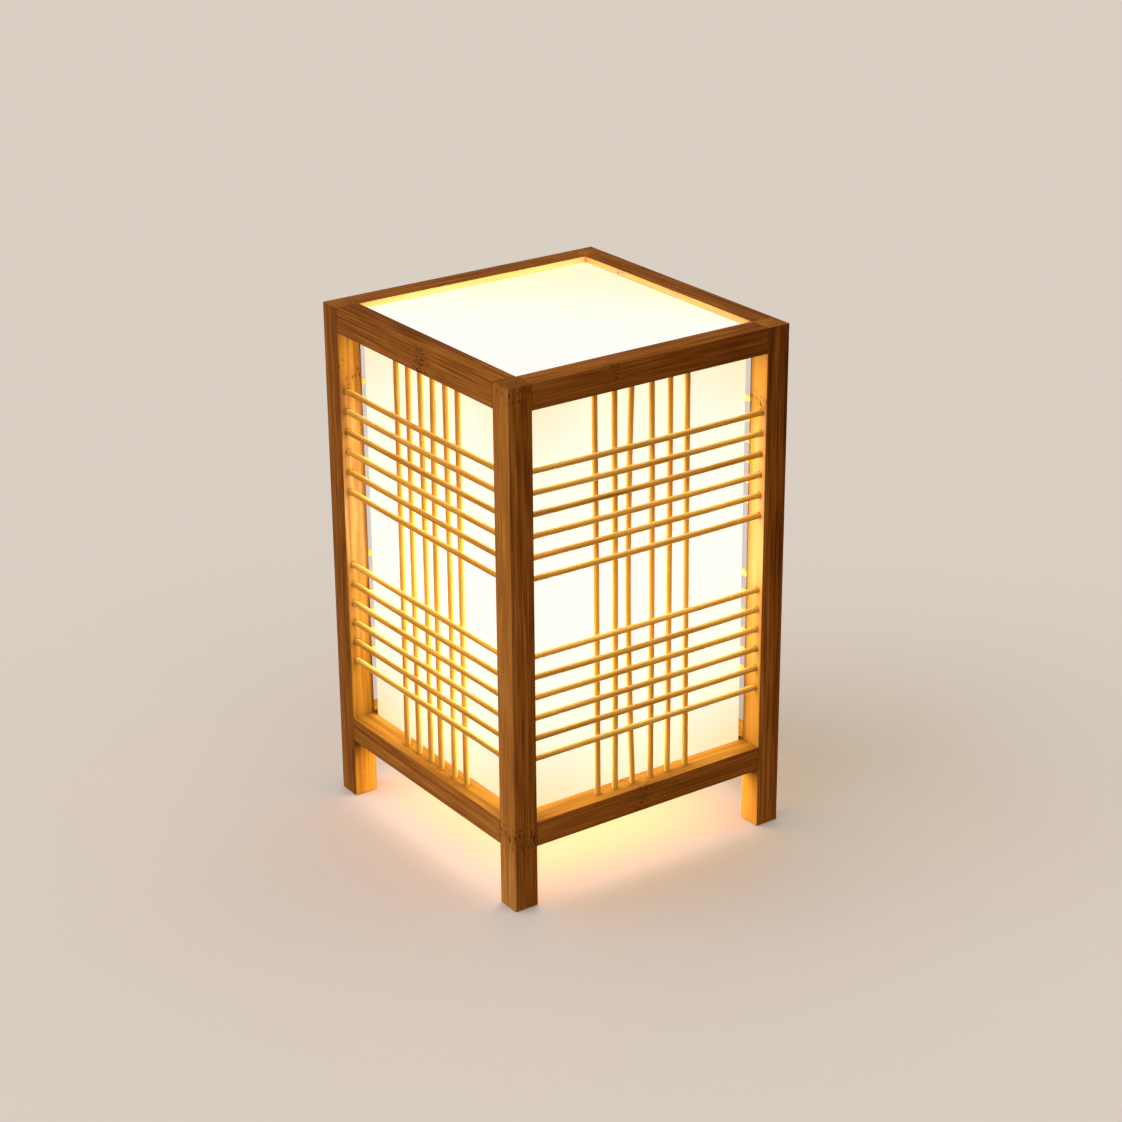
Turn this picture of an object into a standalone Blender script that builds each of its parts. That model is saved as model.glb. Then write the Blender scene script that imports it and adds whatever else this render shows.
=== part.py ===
"""Bamboo table lamp: a square frame of posts and rails with a lattice of round sticks in each side.

Opal sheets stand inside the lattices and under the open top. A bar across the bottom carries a porcelain
lamp holder and its bulb. Metres, +Z up: the origin is on the floor under the middle of the lamp, and the
front looks along -Y.
"""

import math

import bmesh
import bpy
from mathutils import Matrix, Vector

# Frame
SIDE = 0.182
HEIGHT = 0.300
STOCK = 0.0145
LEG = 0.036
ARRIS = 0.0006

# Mortise and tenon joints of the frame, with the tenons nearer the outer face so that two meet in a post
TENON_SETBACK = 0.0025
TENON_THICKNESS = 0.005
TENON_SHOULDER = 0.003
MORTISE_WALL = 0.0005

# Clearance at every seat and joint
SEAT_GAP = 0.0003

# Sticks of the lattice
STICK_DIAMETER = 0.0034
STICK_SETBACK = 0.0047
STICK_SEAT = 0.005
CROSSING_BITE = 0.0002
STICK_SIDES = 8

# Spacing of the sticks: two bands of level ones, and one group of upright ones behind them
LEVEL_PITCH = 0.012
UPPER_MARGIN = 0.0345
LOWER_MARGIN = 0.036
MIDDLE_GAP = 0.0445
UPRIGHT_PITCH = 0.012
UPRIGHT_SPREAD = 0.060

# How far each upright stick stands from its even place at its foot and its head, by hand
FRONT_LEANS = (
    (-0.0006, -0.0024),
    (-0.0009, -0.0016),
    (-0.0008, -0.0022),
    (-0.0007, -0.0013),
    (-0.0009, -0.0010),
    (-0.0003, -0.0016),
)
SIDE_LEANS = (
    (0.0007, 0.0012),
    (0.0014, 0.0013),
    (0.0018, 0.0012),
    (0.0006, 0.0018),
    (0.0020, 0.0018),
    (0.0020, 0.0018),
)

# One upright stick of the front and the back has a bow
BOWED_STICK = 2
BOW = -0.0028
BOW_STEPS = 6

# Shade
SHEET = 0.0015
SHEET_CORNER_GAP = 0.0017
SHEET_BAR_GAP = 0.0005
TOP_SHEET = 0.002
TOP_RECESS = 0.0032
TOP_CLEARANCE = 0.0006

# Bar across the bottom
BAR_WIDTH = 0.040
BAR_THICKNESS = 0.009
BAR_TENON_LENGTH = 0.005
BAR_TENON_WIDTH = 0.026
BAR_TENON_THICKNESS = 0.004

# Cord grommet in the bar
CORD_BORE_RADIUS = 0.0038
GROMMET_WALL = 0.0022
GROMMET_LIP = 0.0028
GROMMET_LIP_THICKNESS = 0.0016

# Lamp holder
CAP_RADIUS = 0.0132
SOCKET_CLEARANCE = 0.0004
SHELL_WALL = 0.0006
SHELL_HEIGHT = 0.022
SHELL_FLOOR_LAP = 0.0035
BARREL_WALL = 0.004
BARREL_HEIGHT = 0.032
BARREL_FLOOR = 0.008
FLANGE_THICKNESS = 0.0045
FLANGE_EDGE = 0.0065
FIXING_SPACING = 0.052
SCREW_RADIUS = 0.0016
SCREW_HEAD_RADIUS = 0.0034
SCREW_HEAD_HEIGHT = 0.0022
SCREW_BITE = 0.006
CONTACT_THICKNESS = 0.0006
CONTACT_WIDTH = 0.005
CONTACT_RISE = 0.004

# Bulb
TIP_RADIUS = 0.0048
TIP_HEIGHT = 0.0014
INSULATOR_HEIGHT = 0.0042
CAP_HEIGHT = 0.022
HOUSING_RADIUS = 0.029
HOUSING_HEIGHT = 0.038
GLOBE_BULGE = 0.001
GLOBE_WALL = 0.0012
BOARD_RADIUS = 0.022
BOARD_THICKNESS = 0.0016

# Facets of turned pieces
ROUND_STEPS = 20
SMALL_ROUND_STEPS = 12
DOME_STEPS = 6

# Places that follow from the sizes above
HALF = SIDE / 2
INNER = HALF - STOCK
BOTTOM_RAIL_TOP = LEG + STOCK
TOP_RAIL_UNDERSIDE = HEIGHT - STOCK
TENON_LENGTH = STOCK - TENON_SETBACK - TENON_THICKNESS - MORTISE_WALL
STICK_RADIUS = STICK_DIAMETER / 2
UPRIGHT_SETBACK = STICK_SETBACK + STICK_DIAMETER - CROSSING_BITE
BAR_TOP = LEG + BAR_THICKNESS
SHEET_BOTTOM = BAR_TOP + SHEET_BAR_GAP
PANEL_BOTTOM = HEIGHT - TOP_RECESS - TOP_SHEET
SHEET_TOP = PANEL_BOTTOM - SEAT_GAP
GROMMET_RADIUS = CORD_BORE_RADIUS + GROMMET_WALL
SHELL_BORE = CAP_RADIUS + SOCKET_CLEARANCE
SHELL_RADIUS = SHELL_BORE + SHELL_WALL
BARREL_BORE = SHELL_RADIUS + SEAT_GAP
BARREL_RADIUS = BARREL_BORE + BARREL_WALL
HOLDER_BOTTOM = BAR_TOP + SEAT_GAP
HOLDER_FLOOR = HOLDER_BOTTOM + BARREL_FLOOR
TIP_BOTTOM = HOLDER_FLOOR + SEAT_GAP + CONTACT_THICKNESS + CONTACT_RISE + SEAT_GAP
CAP_BOTTOM = TIP_BOTTOM + TIP_HEIGHT + SEAT_GAP + INSULATOR_HEIGHT + SEAT_GAP
HOUSING_BOTTOM = CAP_BOTTOM + CAP_HEIGHT + SEAT_GAP
HOUSING_TOP = HOUSING_BOTTOM + HOUSING_HEIGHT

# The four sides, as turned about +Z from the front, with the leans of their upright sticks
FACES = {
    "front": (0.0, FRONT_LEANS),
    "right": (90.0, SIDE_LEANS),
    "back": (180.0, FRONT_LEANS),
    "left": (270.0, SIDE_LEANS),
}
POSTS = {"front_left": 0.0, "front_right": 90.0, "back_right": 180.0, "back_left": 270.0}

MERGE_DISTANCE = 1e-6


def clear_scene():
    """Removes every object of the scene."""
    for old in list(bpy.data.objects):
        bpy.data.objects.remove(old)


def finish(name, colour, roughness, metallic=0.0):
    """A Principled material."""
    made = bpy.data.materials.new(name)
    made.use_nodes = True
    shader = made.node_tree.nodes["Principled BSDF"]
    shader.inputs["Base Color"].default_value = (*colour, 1.0)
    shader.inputs["Roughness"].default_value = roughness
    shader.inputs["Metallic"].default_value = metallic
    return made


def empty(name, location=(0, 0, 0), turn=0.0):
    """An empty that carries pieces, turned about +Z by degrees."""
    made = bpy.data.objects.new(name, None)
    made.location = location
    made.rotation_euler.z = math.radians(turn)
    bpy.context.scene.collection.objects.link(made)
    return made


def piece(name, shape, material, parent=None, smooth=False):
    """Turns a bmesh into a named object with its material."""
    mesh = bpy.data.meshes.new(name)
    shape.to_mesh(mesh)
    shape.free()
    if smooth:
        mesh.shade_smooth()
        mesh.set_sharp_from_angle(angle=math.radians(35))
    return place(name, mesh, material, parent)


def place(name, mesh, material, parent=None):
    """Links an object with this mesh, which several objects may share."""
    if not mesh.materials:
        mesh.materials.append(material)
    made = bpy.data.objects.new(name, mesh)
    made.parent = parent
    bpy.context.scene.collection.objects.link(made)
    return made


def combined(shape, other, operation):
    """The first bmesh joined with the second, or cut by it."""
    helpers = []
    for part in (shape, other):
        mesh = bpy.data.meshes.new("helper")
        part.to_mesh(mesh)
        part.free()
        helper = bpy.data.objects.new("helper", mesh)
        helper.hide_render = True
        helper.display_type = "WIRE"
        bpy.context.scene.collection.objects.link(helper)
        helpers.append(helper)
    modifier = helpers[0].modifiers.new("combine", "BOOLEAN")
    modifier.operation = operation
    modifier.object = helpers[1]
    result = bmesh.new()
    result.from_object(helpers[0], bpy.context.evaluated_depsgraph_get())
    for helper in helpers:
        bpy.data.meshes.remove(helper.data)
    return result


def add_block(shape, low, high):
    """Adds a box between two corners and returns its edges."""
    low, high = Vector(low), Vector(high)
    made = bmesh.ops.create_cube(shape, size=1.0)
    size = Matrix.Diagonal((*(high - low), 1.0))
    bmesh.ops.transform(shape, matrix=Matrix.Translation((low + high) / 2) @ size, verts=made["verts"])
    return {edge for vert in made["verts"] for edge in vert.link_edges}


def block(low, high, chamfer=0.0, along=None):
    """A box, with its edges eased, or only those along one axis."""
    shape = bmesh.new()
    edges = add_block(shape, low, high)
    if along is not None:
        edges = {e for e in edges if abs((e.verts[0].co - e.verts[1].co)[along]) > MERGE_DISTANCE}
    if chamfer:
        bmesh.ops.bevel(shape, geom=list(edges), offset=chamfer, segments=1, affect="EDGES")
    return shape


def add_stick(shape, path, radius, along):
    """Adds a stick whose rings stand square to one axis, X, Y or Z, with a ridge to its front and back."""
    rings = []
    for point in path:
        ring = []
        for side in range(STICK_SIDES):
            angle = side * math.tau / STICK_SIDES
            offset = [radius * math.cos(angle), radius * math.sin(angle)]
            offset.insert(along, 0.0)
            ring.append(shape.verts.new(Vector(point) + Vector(offset)))
        rings.append(ring)
    faces = [shape.faces.new(rings[0]), shape.faces.new(rings[-1])]
    for ring, following in zip(rings, rings[1:]):
        for side in range(STICK_SIDES):
            after = (side + 1) % STICK_SIDES
            faces.append(shape.faces.new((ring[side], ring[after], following[after], following[side])))
    bmesh.ops.recalc_face_normals(shape, faces=faces)


def turned(profile, steps=ROUND_STEPS):
    """A solid turned about Z from (radius, height) points, closed through the axis or on itself."""
    shape = bmesh.new()
    points = [shape.verts.new((radius, 0.0, height)) for radius, height in profile]
    hollow = min(radius for radius, height in profile) > 0
    pairs = list(zip(points, points[1:]))
    if hollow:
        pairs.append((points[-1], points[0]))
    edges = [shape.edges.new(pair) for pair in pairs]
    geometry = points + edges
    bmesh.ops.spin(shape, geom=geometry, axis=(0, 0, 1), angle=math.tau, steps=steps, use_merge=True)
    bmesh.ops.remove_doubles(shape, verts=shape.verts, dist=MERGE_DISTANCE)
    bmesh.ops.recalc_face_normals(shape, faces=shape.faces)
    return shape


def extruded(outline, start, end, along):
    """A prism on an outline in the two axes square to X, Y or Z."""
    shape = bmesh.new()
    lower = []
    for pair in outline:
        point = list(pair)
        point.insert(along, start)
        lower.append(shape.verts.new(point))
    base = shape.faces.new(lower)
    grown = bmesh.ops.extrude_face_region(shape, geom=[base])
    shift = [0.0, 0.0]
    shift.insert(along, end - start)
    raised = [item for item in grown["geom"] if isinstance(item, bmesh.types.BMVert)]
    bmesh.ops.translate(shape, vec=shift, verts=raised)
    bmesh.ops.recalc_face_normals(shape, faces=shape.faces)
    return shape


def band_heights():
    """Heights of the level sticks, from the top band's first down and from the lower band's first up."""
    opening = TOP_RAIL_UNDERSIDE - BOTTOM_RAIL_TOP
    band = (opening - UPPER_MARGIN - LOWER_MARGIN - MIDDLE_GAP) / 2
    steps = range(math.floor(band / LEVEL_PITCH + MERGE_DISTANCE) + 1)
    upper = [TOP_RAIL_UNDERSIDE - UPPER_MARGIN - step * LEVEL_PITCH for step in steps]
    lower = [BOTTOM_RAIL_TOP + LOWER_MARGIN + step * LEVEL_PITCH for step in steps]
    return upper + lower


def upright_places(leans):
    """Distances of each upright stick's foot and head from the middle of its side."""
    count = math.floor(UPRIGHT_SPREAD / UPRIGHT_PITCH + MERGE_DISTANCE) + 1
    places = []
    for index in range(count):
        even = (index - (count - 1) / 2) * UPRIGHT_PITCH
        foot, head = leans[index % len(leans)]
        places.append((even + foot, even + head))
    return places


def upright_path(foot, head, bow):
    """Points of an upright stick from the bottom of its lower seat to the top of its upper one."""
    low = BOTTOM_RAIL_TOP - STICK_SEAT
    high = TOP_RAIL_UNDERSIDE + STICK_SEAT
    steps = BOW_STEPS if bow else 1
    path = []
    for step in range(steps + 1):
        share = step / steps
        across = foot + (head - foot) * share + bow * math.sin(math.pi * share)
        path.append((across, UPRIGHT_SETBACK - HALF, low + (high - low) * share))
    return path


def level_path(height):
    """End points of a level stick, in the seats of the two posts."""
    reach = INNER + STICK_SEAT
    return [(-reach, STICK_SETBACK - HALF, height), (reach, STICK_SETBACK - HALF, height)]


def lattice(leans, bows):
    """The sticks of one side, glued where they cross."""
    level = bmesh.new()
    for height in band_heights():
        add_stick(level, level_path(height), STICK_RADIUS, along=0)
    upright = bmesh.new()
    for index, (foot, head) in enumerate(upright_places(leans)):
        add_stick(upright, upright_path(foot, head, bows.get(index, 0.0)), STICK_RADIUS, along=2)
    return combined(level, upright, "UNION")


def post():
    """The post of the front left corner, with its mortises and the seats of the level sticks."""
    shape = block((-HALF, -HALF, 0), (-INNER, -INNER, HEIGHT), ARRIS)
    cuts = bmesh.new()
    depth = TENON_LENGTH + SEAT_GAP
    near = TENON_SETBACK - SEAT_GAP - HALF
    far = TENON_SETBACK + TENON_THICKNESS + SEAT_GAP - HALF
    for rail_bottom in (LEG, TOP_RAIL_UNDERSIDE):
        low = rail_bottom + TENON_SHOULDER - SEAT_GAP
        high = rail_bottom + STOCK - TENON_SHOULDER + SEAT_GAP
        add_block(cuts, (-INNER - depth, near, low), (-INNER + STOCK, far, high))
        add_block(cuts, (near, -INNER - depth, low), (far, -INNER + STOCK, high))
    seat = STICK_SEAT + SEAT_GAP
    radius = STICK_RADIUS + SEAT_GAP
    axis = STICK_SETBACK - HALF
    for height in band_heights():
        ends = (-INNER - seat, -INNER + STOCK)
        add_stick(cuts, [(end, axis, height) for end in ends], radius, along=0)
        add_stick(cuts, [(axis, end, height) for end in ends], radius, along=1)
    return combined(shape, cuts, "DIFFERENCE")


def rail(bottom):
    """A rail of the front side with its two tenons."""
    reach = INNER - SEAT_GAP
    shape = block((-reach, -HALF, bottom), (reach, -INNER, bottom + STOCK), ARRIS, along=0)
    tenons = bmesh.new()
    near = TENON_SETBACK - HALF
    far = near + TENON_THICKNESS
    low = bottom + TENON_SHOULDER
    high = bottom + STOCK - TENON_SHOULDER
    for end in (-1, 1):
        tip = end * (INNER + TENON_LENGTH)
        root = end * (reach - TENON_THICKNESS)
        add_block(tenons, (min(tip, root), near, low), (max(tip, root), far, high))
    return combined(shape, tenons, "UNION")


def top_rail(leans):
    """A top rail with the seats of the upright sticks' heads."""
    cuts = bmesh.new()
    add_upright_seats(cuts, [head for foot, head in upright_places(leans)], TOP_RAIL_UNDERSIDE, 1)
    return combined(rail(TOP_RAIL_UNDERSIDE), cuts, "DIFFERENCE")


def bottom_rail(leans, carries_bar):
    """A bottom rail with the seats of the upright sticks' feet and, on two sides, the bar's mortise."""
    cuts = bmesh.new()
    add_upright_seats(cuts, [foot for foot, head in upright_places(leans)], BOTTOM_RAIL_TOP, -1)
    if carries_bar:
        half_width = BAR_TENON_WIDTH / 2 + SEAT_GAP
        half_height = BAR_TENON_THICKNESS / 2 + SEAT_GAP
        middle = LEG + BAR_THICKNESS / 2
        deepest = -INNER - BAR_TENON_LENGTH - SEAT_GAP
        low = (-half_width, deepest, middle - half_height)
        add_block(cuts, low, (half_width, -INNER + STOCK, middle + half_height))
    return combined(rail(LEG), cuts, "DIFFERENCE")


def add_upright_seats(cuts, places, surface, into):
    """Adds the blind holes of the upright sticks to a rail's cuts, going up or down from its surface."""
    radius = STICK_RADIUS + SEAT_GAP
    depth = UPRIGHT_SETBACK - HALF
    heights = sorted((surface - into * STOCK, surface + into * (STICK_SEAT + SEAT_GAP)))
    for place_across in places:
        add_stick(cuts, [(place_across, depth, height) for height in heights], radius, along=2)


def side_sheet():
    """An opal sheet against the inner faces of the front rails, clear of the posts and of the next sheets."""
    reach = INNER - SEAT_GAP - SHEET - SHEET_CORNER_GAP
    face = -INNER + SEAT_GAP
    return block((-reach, face, SHEET_BOTTOM), (reach, face + SHEET, SHEET_TOP))


def holder_bar():
    """The bar along X between two bottom rails, with its tenons and the holes for grommet and screws."""
    reach = INNER - SEAT_GAP
    shape = block((-reach, -BAR_WIDTH / 2, LEG), (reach, BAR_WIDTH / 2, BAR_TOP), ARRIS, along=0)
    tenons = bmesh.new()
    middle = LEG + BAR_THICKNESS / 2
    for end in (-1, 1):
        tip = end * (INNER + BAR_TENON_LENGTH)
        root = end * (reach - BAR_TENON_LENGTH)
        low = (min(tip, root), -BAR_TENON_WIDTH / 2, middle - BAR_TENON_THICKNESS / 2)
        high = (max(tip, root), BAR_TENON_WIDTH / 2, middle + BAR_TENON_THICKNESS / 2)
        add_block(tenons, low, high)
    shape = combined(shape, tenons, "UNION")
    hole = turned(rod_profile(GROMMET_RADIUS + SEAT_GAP, LEG - BAR_THICKNESS, BAR_TOP + BAR_THICKNESS))
    shape = combined(shape, hole, "DIFFERENCE")
    bottom = BAR_TOP - SCREW_BITE - SEAT_GAP
    return with_screw_holes(shape, SCREW_RADIUS + SEAT_GAP, bottom, BAR_TOP + BAR_THICKNESS)


def rod_profile(radius, bottom, top):
    """Profile of a plain round rod."""
    return [(0.0, bottom), (radius, bottom), (radius, top), (0.0, top)]


def with_screw_holes(shape, radius, bottom, top):
    """The shape with the two holes for the holder's screws."""
    for end in (-1, 1):
        hole = turned(rod_profile(radius, bottom, top), SMALL_ROUND_STEPS)
        bmesh.ops.translate(hole, vec=(end * FIXING_SPACING / 2, 0, 0), verts=hole.verts)
        shape = combined(shape, hole, "DIFFERENCE")
    return shape


def cord_grommet():
    """A sleeve through the bar, with its lip under it."""
    lip = LEG - SEAT_GAP
    lip_radius = GROMMET_RADIUS + GROMMET_LIP
    return turned(
        [
            (CORD_BORE_RADIUS, BAR_TOP),
            (CORD_BORE_RADIUS, lip - GROMMET_LIP_THICKNESS),
            (lip_radius, lip - GROMMET_LIP_THICKNESS),
            (lip_radius, lip),
            (GROMMET_RADIUS, lip),
            (GROMMET_RADIUS, BAR_TOP),
        ]
    )


def stadium(length, width):
    """Outline of a plate with two round ends."""
    radius = width / 2
    outline = []
    for end in (0, 1):
        centre = (length / 2 - radius) * (1 - 2 * end)
        for step in range(ROUND_STEPS // 2 + 1):
            angle = math.pi * (end - 0.5 + step / (ROUND_STEPS // 2))
            outline.append((centre + radius * math.cos(angle), radius * math.sin(angle)))
    return outline


def holder_body():
    """The porcelain cup of the lamp holder on its flange, with the cord's way in and two screw holes."""
    bottom = HOLDER_BOTTOM
    cup = turned(
        [
            (CORD_BORE_RADIUS, bottom),
            (BARREL_RADIUS, bottom),
            (BARREL_RADIUS, bottom + BARREL_HEIGHT - ARRIS),
            (BARREL_RADIUS - ARRIS, bottom + BARREL_HEIGHT),
            (BARREL_BORE, bottom + BARREL_HEIGHT),
            (BARREL_BORE, HOLDER_FLOOR),
            (CORD_BORE_RADIUS, HOLDER_FLOOR),
        ]
    )
    length = FIXING_SPACING + 2 * FLANGE_EDGE
    flange = extruded(stadium(length, 2 * FLANGE_EDGE), bottom, bottom + FLANGE_THICKNESS, along=2)
    bore = turned(rod_profile(CORD_BORE_RADIUS, bottom - BARREL_FLOOR, HOLDER_FLOOR))
    flange = combined(flange, bore, "DIFFERENCE")
    shape = combined(cup, flange, "UNION")
    return with_screw_holes(shape, SCREW_RADIUS + SEAT_GAP, bottom - BARREL_FLOOR, bottom + BARREL_FLOOR)


def holder_shell():
    """The screw shell in the holder, with an open floor."""
    floor = HOLDER_FLOOR + SEAT_GAP
    lap = SHELL_BORE - SHELL_FLOOR_LAP
    return turned(
        [
            (lap, floor),
            (SHELL_RADIUS, floor),
            (SHELL_RADIUS, floor + SHELL_HEIGHT),
            (SHELL_BORE, floor + SHELL_HEIGHT),
            (SHELL_BORE, floor + SHELL_WALL),
            (lap, floor + SHELL_WALL),
        ]
    )


def holder_contact():
    """The spring tongue under the bulb's tip: a strip with a flat root, a slope and a flat end."""
    clear_radius = (SHELL_BORE - SHELL_FLOOR_LAP) * math.cos(math.pi / ROUND_STEPS) - SEAT_GAP
    root = -math.sqrt(clear_radius**2 - (CONTACT_WIDTH / 2) ** 2)
    bottom = HOLDER_FLOOR + SEAT_GAP
    under = [
        (root, bottom),
        (-CORD_BORE_RADIUS, bottom),
        (0.0, bottom + CONTACT_RISE),
        (TIP_RADIUS / 2, bottom + CONTACT_RISE),
    ]
    over = [(across, height + CONTACT_THICKNESS) for across, height in reversed(under)]
    return extruded(under + over, -CONTACT_WIDTH / 2, CONTACT_WIDTH / 2, along=1)


def holder_screw():
    """A round-headed wood screw through the holder's flange into the bar."""
    head = HOLDER_BOTTOM + FLANGE_THICKNESS + SEAT_GAP
    crown = SCREW_HEAD_RADIUS / 2
    return turned(
        [
            (0.0, BAR_TOP - SCREW_BITE),
            (SCREW_RADIUS, BAR_TOP - SCREW_BITE + SCREW_RADIUS),
            (SCREW_RADIUS, head),
            (SCREW_HEAD_RADIUS, head),
            (SCREW_HEAD_RADIUS, head + SCREW_HEAD_HEIGHT / 2),
            (crown, head + SCREW_HEAD_HEIGHT),
            (0.0, head + SCREW_HEAD_HEIGHT),
        ],
        SMALL_ROUND_STEPS,
    )


def bulb_tip():
    """The bulb's end contact."""
    top = TIP_BOTTOM + TIP_HEIGHT
    profile = [(0.0, TIP_BOTTOM), (TIP_RADIUS / 2, TIP_BOTTOM), (TIP_RADIUS, top), (0.0, top)]
    return turned(profile, SMALL_ROUND_STEPS)


def bulb_insulator():
    """The cone between the end contact and the screw cap."""
    bottom = TIP_BOTTOM + TIP_HEIGHT + SEAT_GAP
    top = bottom + INSULATOR_HEIGHT
    return turned([(0.0, bottom), (TIP_RADIUS, bottom), (CAP_RADIUS - ARRIS, top), (0.0, top)])


def bulb_cap():
    """The screw cap, plain where its thread is."""
    top = CAP_BOTTOM + CAP_HEIGHT
    return turned(
        [
            (0.0, CAP_BOTTOM),
            (CAP_RADIUS - ARRIS, CAP_BOTTOM),
            (CAP_RADIUS, CAP_BOTTOM + ARRIS),
            (CAP_RADIUS, top),
            (0.0, top),
        ]
    )


def bulb_housing():
    """The flared housing between cap and globe, along a quarter of a sine."""
    neck = CAP_RADIUS + ARRIS
    profile = [(0.0, HOUSING_BOTTOM)]
    for step in range(DOME_STEPS + 1):
        share = step / DOME_STEPS
        flare = math.sin(share * math.pi / 2)
        profile.append((neck + (HOUSING_RADIUS - neck) * flare, HOUSING_BOTTOM + HOUSING_HEIGHT * share))
    return turned(profile + [(0.0, HOUSING_TOP)])


def dome(radius, rim_radius, bottom):
    """Profile of a dome from its rim to its crown, as part of a sphere that bulges past the rim."""
    drop = math.sqrt(radius**2 - rim_radius**2)
    start = -math.asin(drop / radius)
    profile = []
    for step in range(DOME_STEPS + 1):
        angle = start + (math.pi / 2 - start) * step / DOME_STEPS
        profile.append((radius * math.cos(angle), bottom + drop + radius * math.sin(angle)))
    profile[-1] = (0.0, bottom + drop + radius)
    return profile


def bulb_globe():
    """The opal globe, open where it sits on the housing."""
    bottom = HOUSING_TOP + SEAT_GAP
    radius = HOUSING_RADIUS + GLOBE_BULGE
    outside = dome(radius, HOUSING_RADIUS, bottom)
    inside = dome(radius - GLOBE_WALL, HOUSING_RADIUS - GLOBE_WALL, bottom)
    return turned(inside[::-1] + outside)


def bulb_board():
    """The disc that carries the light sources, on the housing's top."""
    bottom = HOUSING_TOP + SEAT_GAP
    return turned(rod_profile(BOARD_RADIUS, bottom, bottom + BOARD_THICKNESS))


def build_frame(bamboo, stick, opal):
    """Posts, and on each side the rails, lattice and sheet."""
    post_shape = bpy.data.meshes.new("post")
    cut_post = post()
    cut_post.to_mesh(post_shape)
    cut_post.free()
    for corner, turn in POSTS.items():
        place(f"post_{corner}", post_shape, bamboo).rotation_euler.z = math.radians(turn)
    for side, (turn, leans) in FACES.items():
        carrier = empty(f"side_{side}", turn=turn)
        bows = {BOWED_STICK: BOW} if leans is FRONT_LEANS else {}
        piece(f"top_rail_{side}", top_rail(leans), bamboo, carrier)
        piece(f"bottom_rail_{side}", bottom_rail(leans, side in ("left", "right")), bamboo, carrier)
        piece(f"lattice_{side}", lattice(leans, bows), stick, carrier, smooth=True)
        piece(f"shade_{side}", side_sheet(), opal, carrier)


def build_top_panel(opal):
    """The sheet that drops in on the upper edges of the side sheets."""
    reach = INNER - TOP_CLEARANCE
    sheet = block((-reach, -reach, 0), (reach, reach, TOP_SHEET))
    piece("top_panel", sheet, opal).location.z = PANEL_BOTTOM


def build_holder(bamboo, porcelain, brass, steel, nylon):
    """The bar across the bottom and the lamp holder on it."""
    piece("holder_bar", holder_bar(), bamboo)
    piece("cord_grommet", cord_grommet(), nylon, smooth=True)
    piece("holder_body", holder_body(), porcelain, smooth=True)
    piece("holder_shell", holder_shell(), brass, smooth=True)
    piece("holder_contact", holder_contact(), brass)
    for side, end in (("left", -1), ("right", 1)):
        screw = piece(f"holder_screw_{side}", holder_screw(), steel, smooth=True)
        screw.location.x = end * FIXING_SPACING / 2


def build_bulb(opal, brass, white, nylon, aluminium):
    """The bulb, on an empty that stands on the axis it turns about."""
    axis = empty("bulb_axis", (0, 0, CAP_BOTTOM))
    shapes = {
        "bulb_tip": (bulb_tip(), brass),
        "bulb_insulator": (bulb_insulator(), nylon),
        "bulb_cap": (bulb_cap(), aluminium),
        "bulb_housing": (bulb_housing(), white),
        "bulb_board": (bulb_board(), aluminium),
        "bulb_globe": (bulb_globe(), opal),
    }
    for name, (shape, material) in shapes.items():
        bmesh.ops.translate(shape, vec=(0, 0, -CAP_BOTTOM), verts=shape.verts)
        piece(name, shape, material, axis, smooth=True)


def main():
    """Models the lamp."""
    clear_scene()
    bamboo = finish("bamboo", (0.27, 0.12, 0.035), 0.42)
    stick = finish("stick", (0.52, 0.29, 0.09), 0.45)
    opal = finish("opal", (0.95, 0.93, 0.86), 0.4)
    brass = finish("brass", (0.78, 0.57, 0.24), 0.3, 1.0)
    steel = finish("steel", (0.62, 0.62, 0.63), 0.35, 1.0)
    nylon = finish("nylon", (0.02, 0.02, 0.022), 0.5)
    white = finish("white", (0.86, 0.86, 0.84), 0.35)
    aluminium = finish("aluminium", (0.72, 0.73, 0.74), 0.35, 1.0)
    porcelain = finish("porcelain", (0.88, 0.87, 0.83), 0.2)
    build_frame(bamboo, stick, opal)
    build_top_panel(opal)
    build_holder(bamboo, porcelain, brass, steel, nylon)
    build_bulb(opal, brass, white, nylon, aluminium)


main()
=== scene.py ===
"""Dresses the bamboo table lamp: laminated frame, round stick lattices, opal shade, holder and bulb.

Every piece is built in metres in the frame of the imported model, with the origin on the floor under the lamp,
+Z up and the front looking along -Y.
"""

import logging
import math
from collections.abc import Iterable, Mapping, Sequence
from dataclasses import dataclass, field
from enum import Enum
from functools import reduce

import bmesh
import bpy
from mathutils import Matrix, Vector


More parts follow.
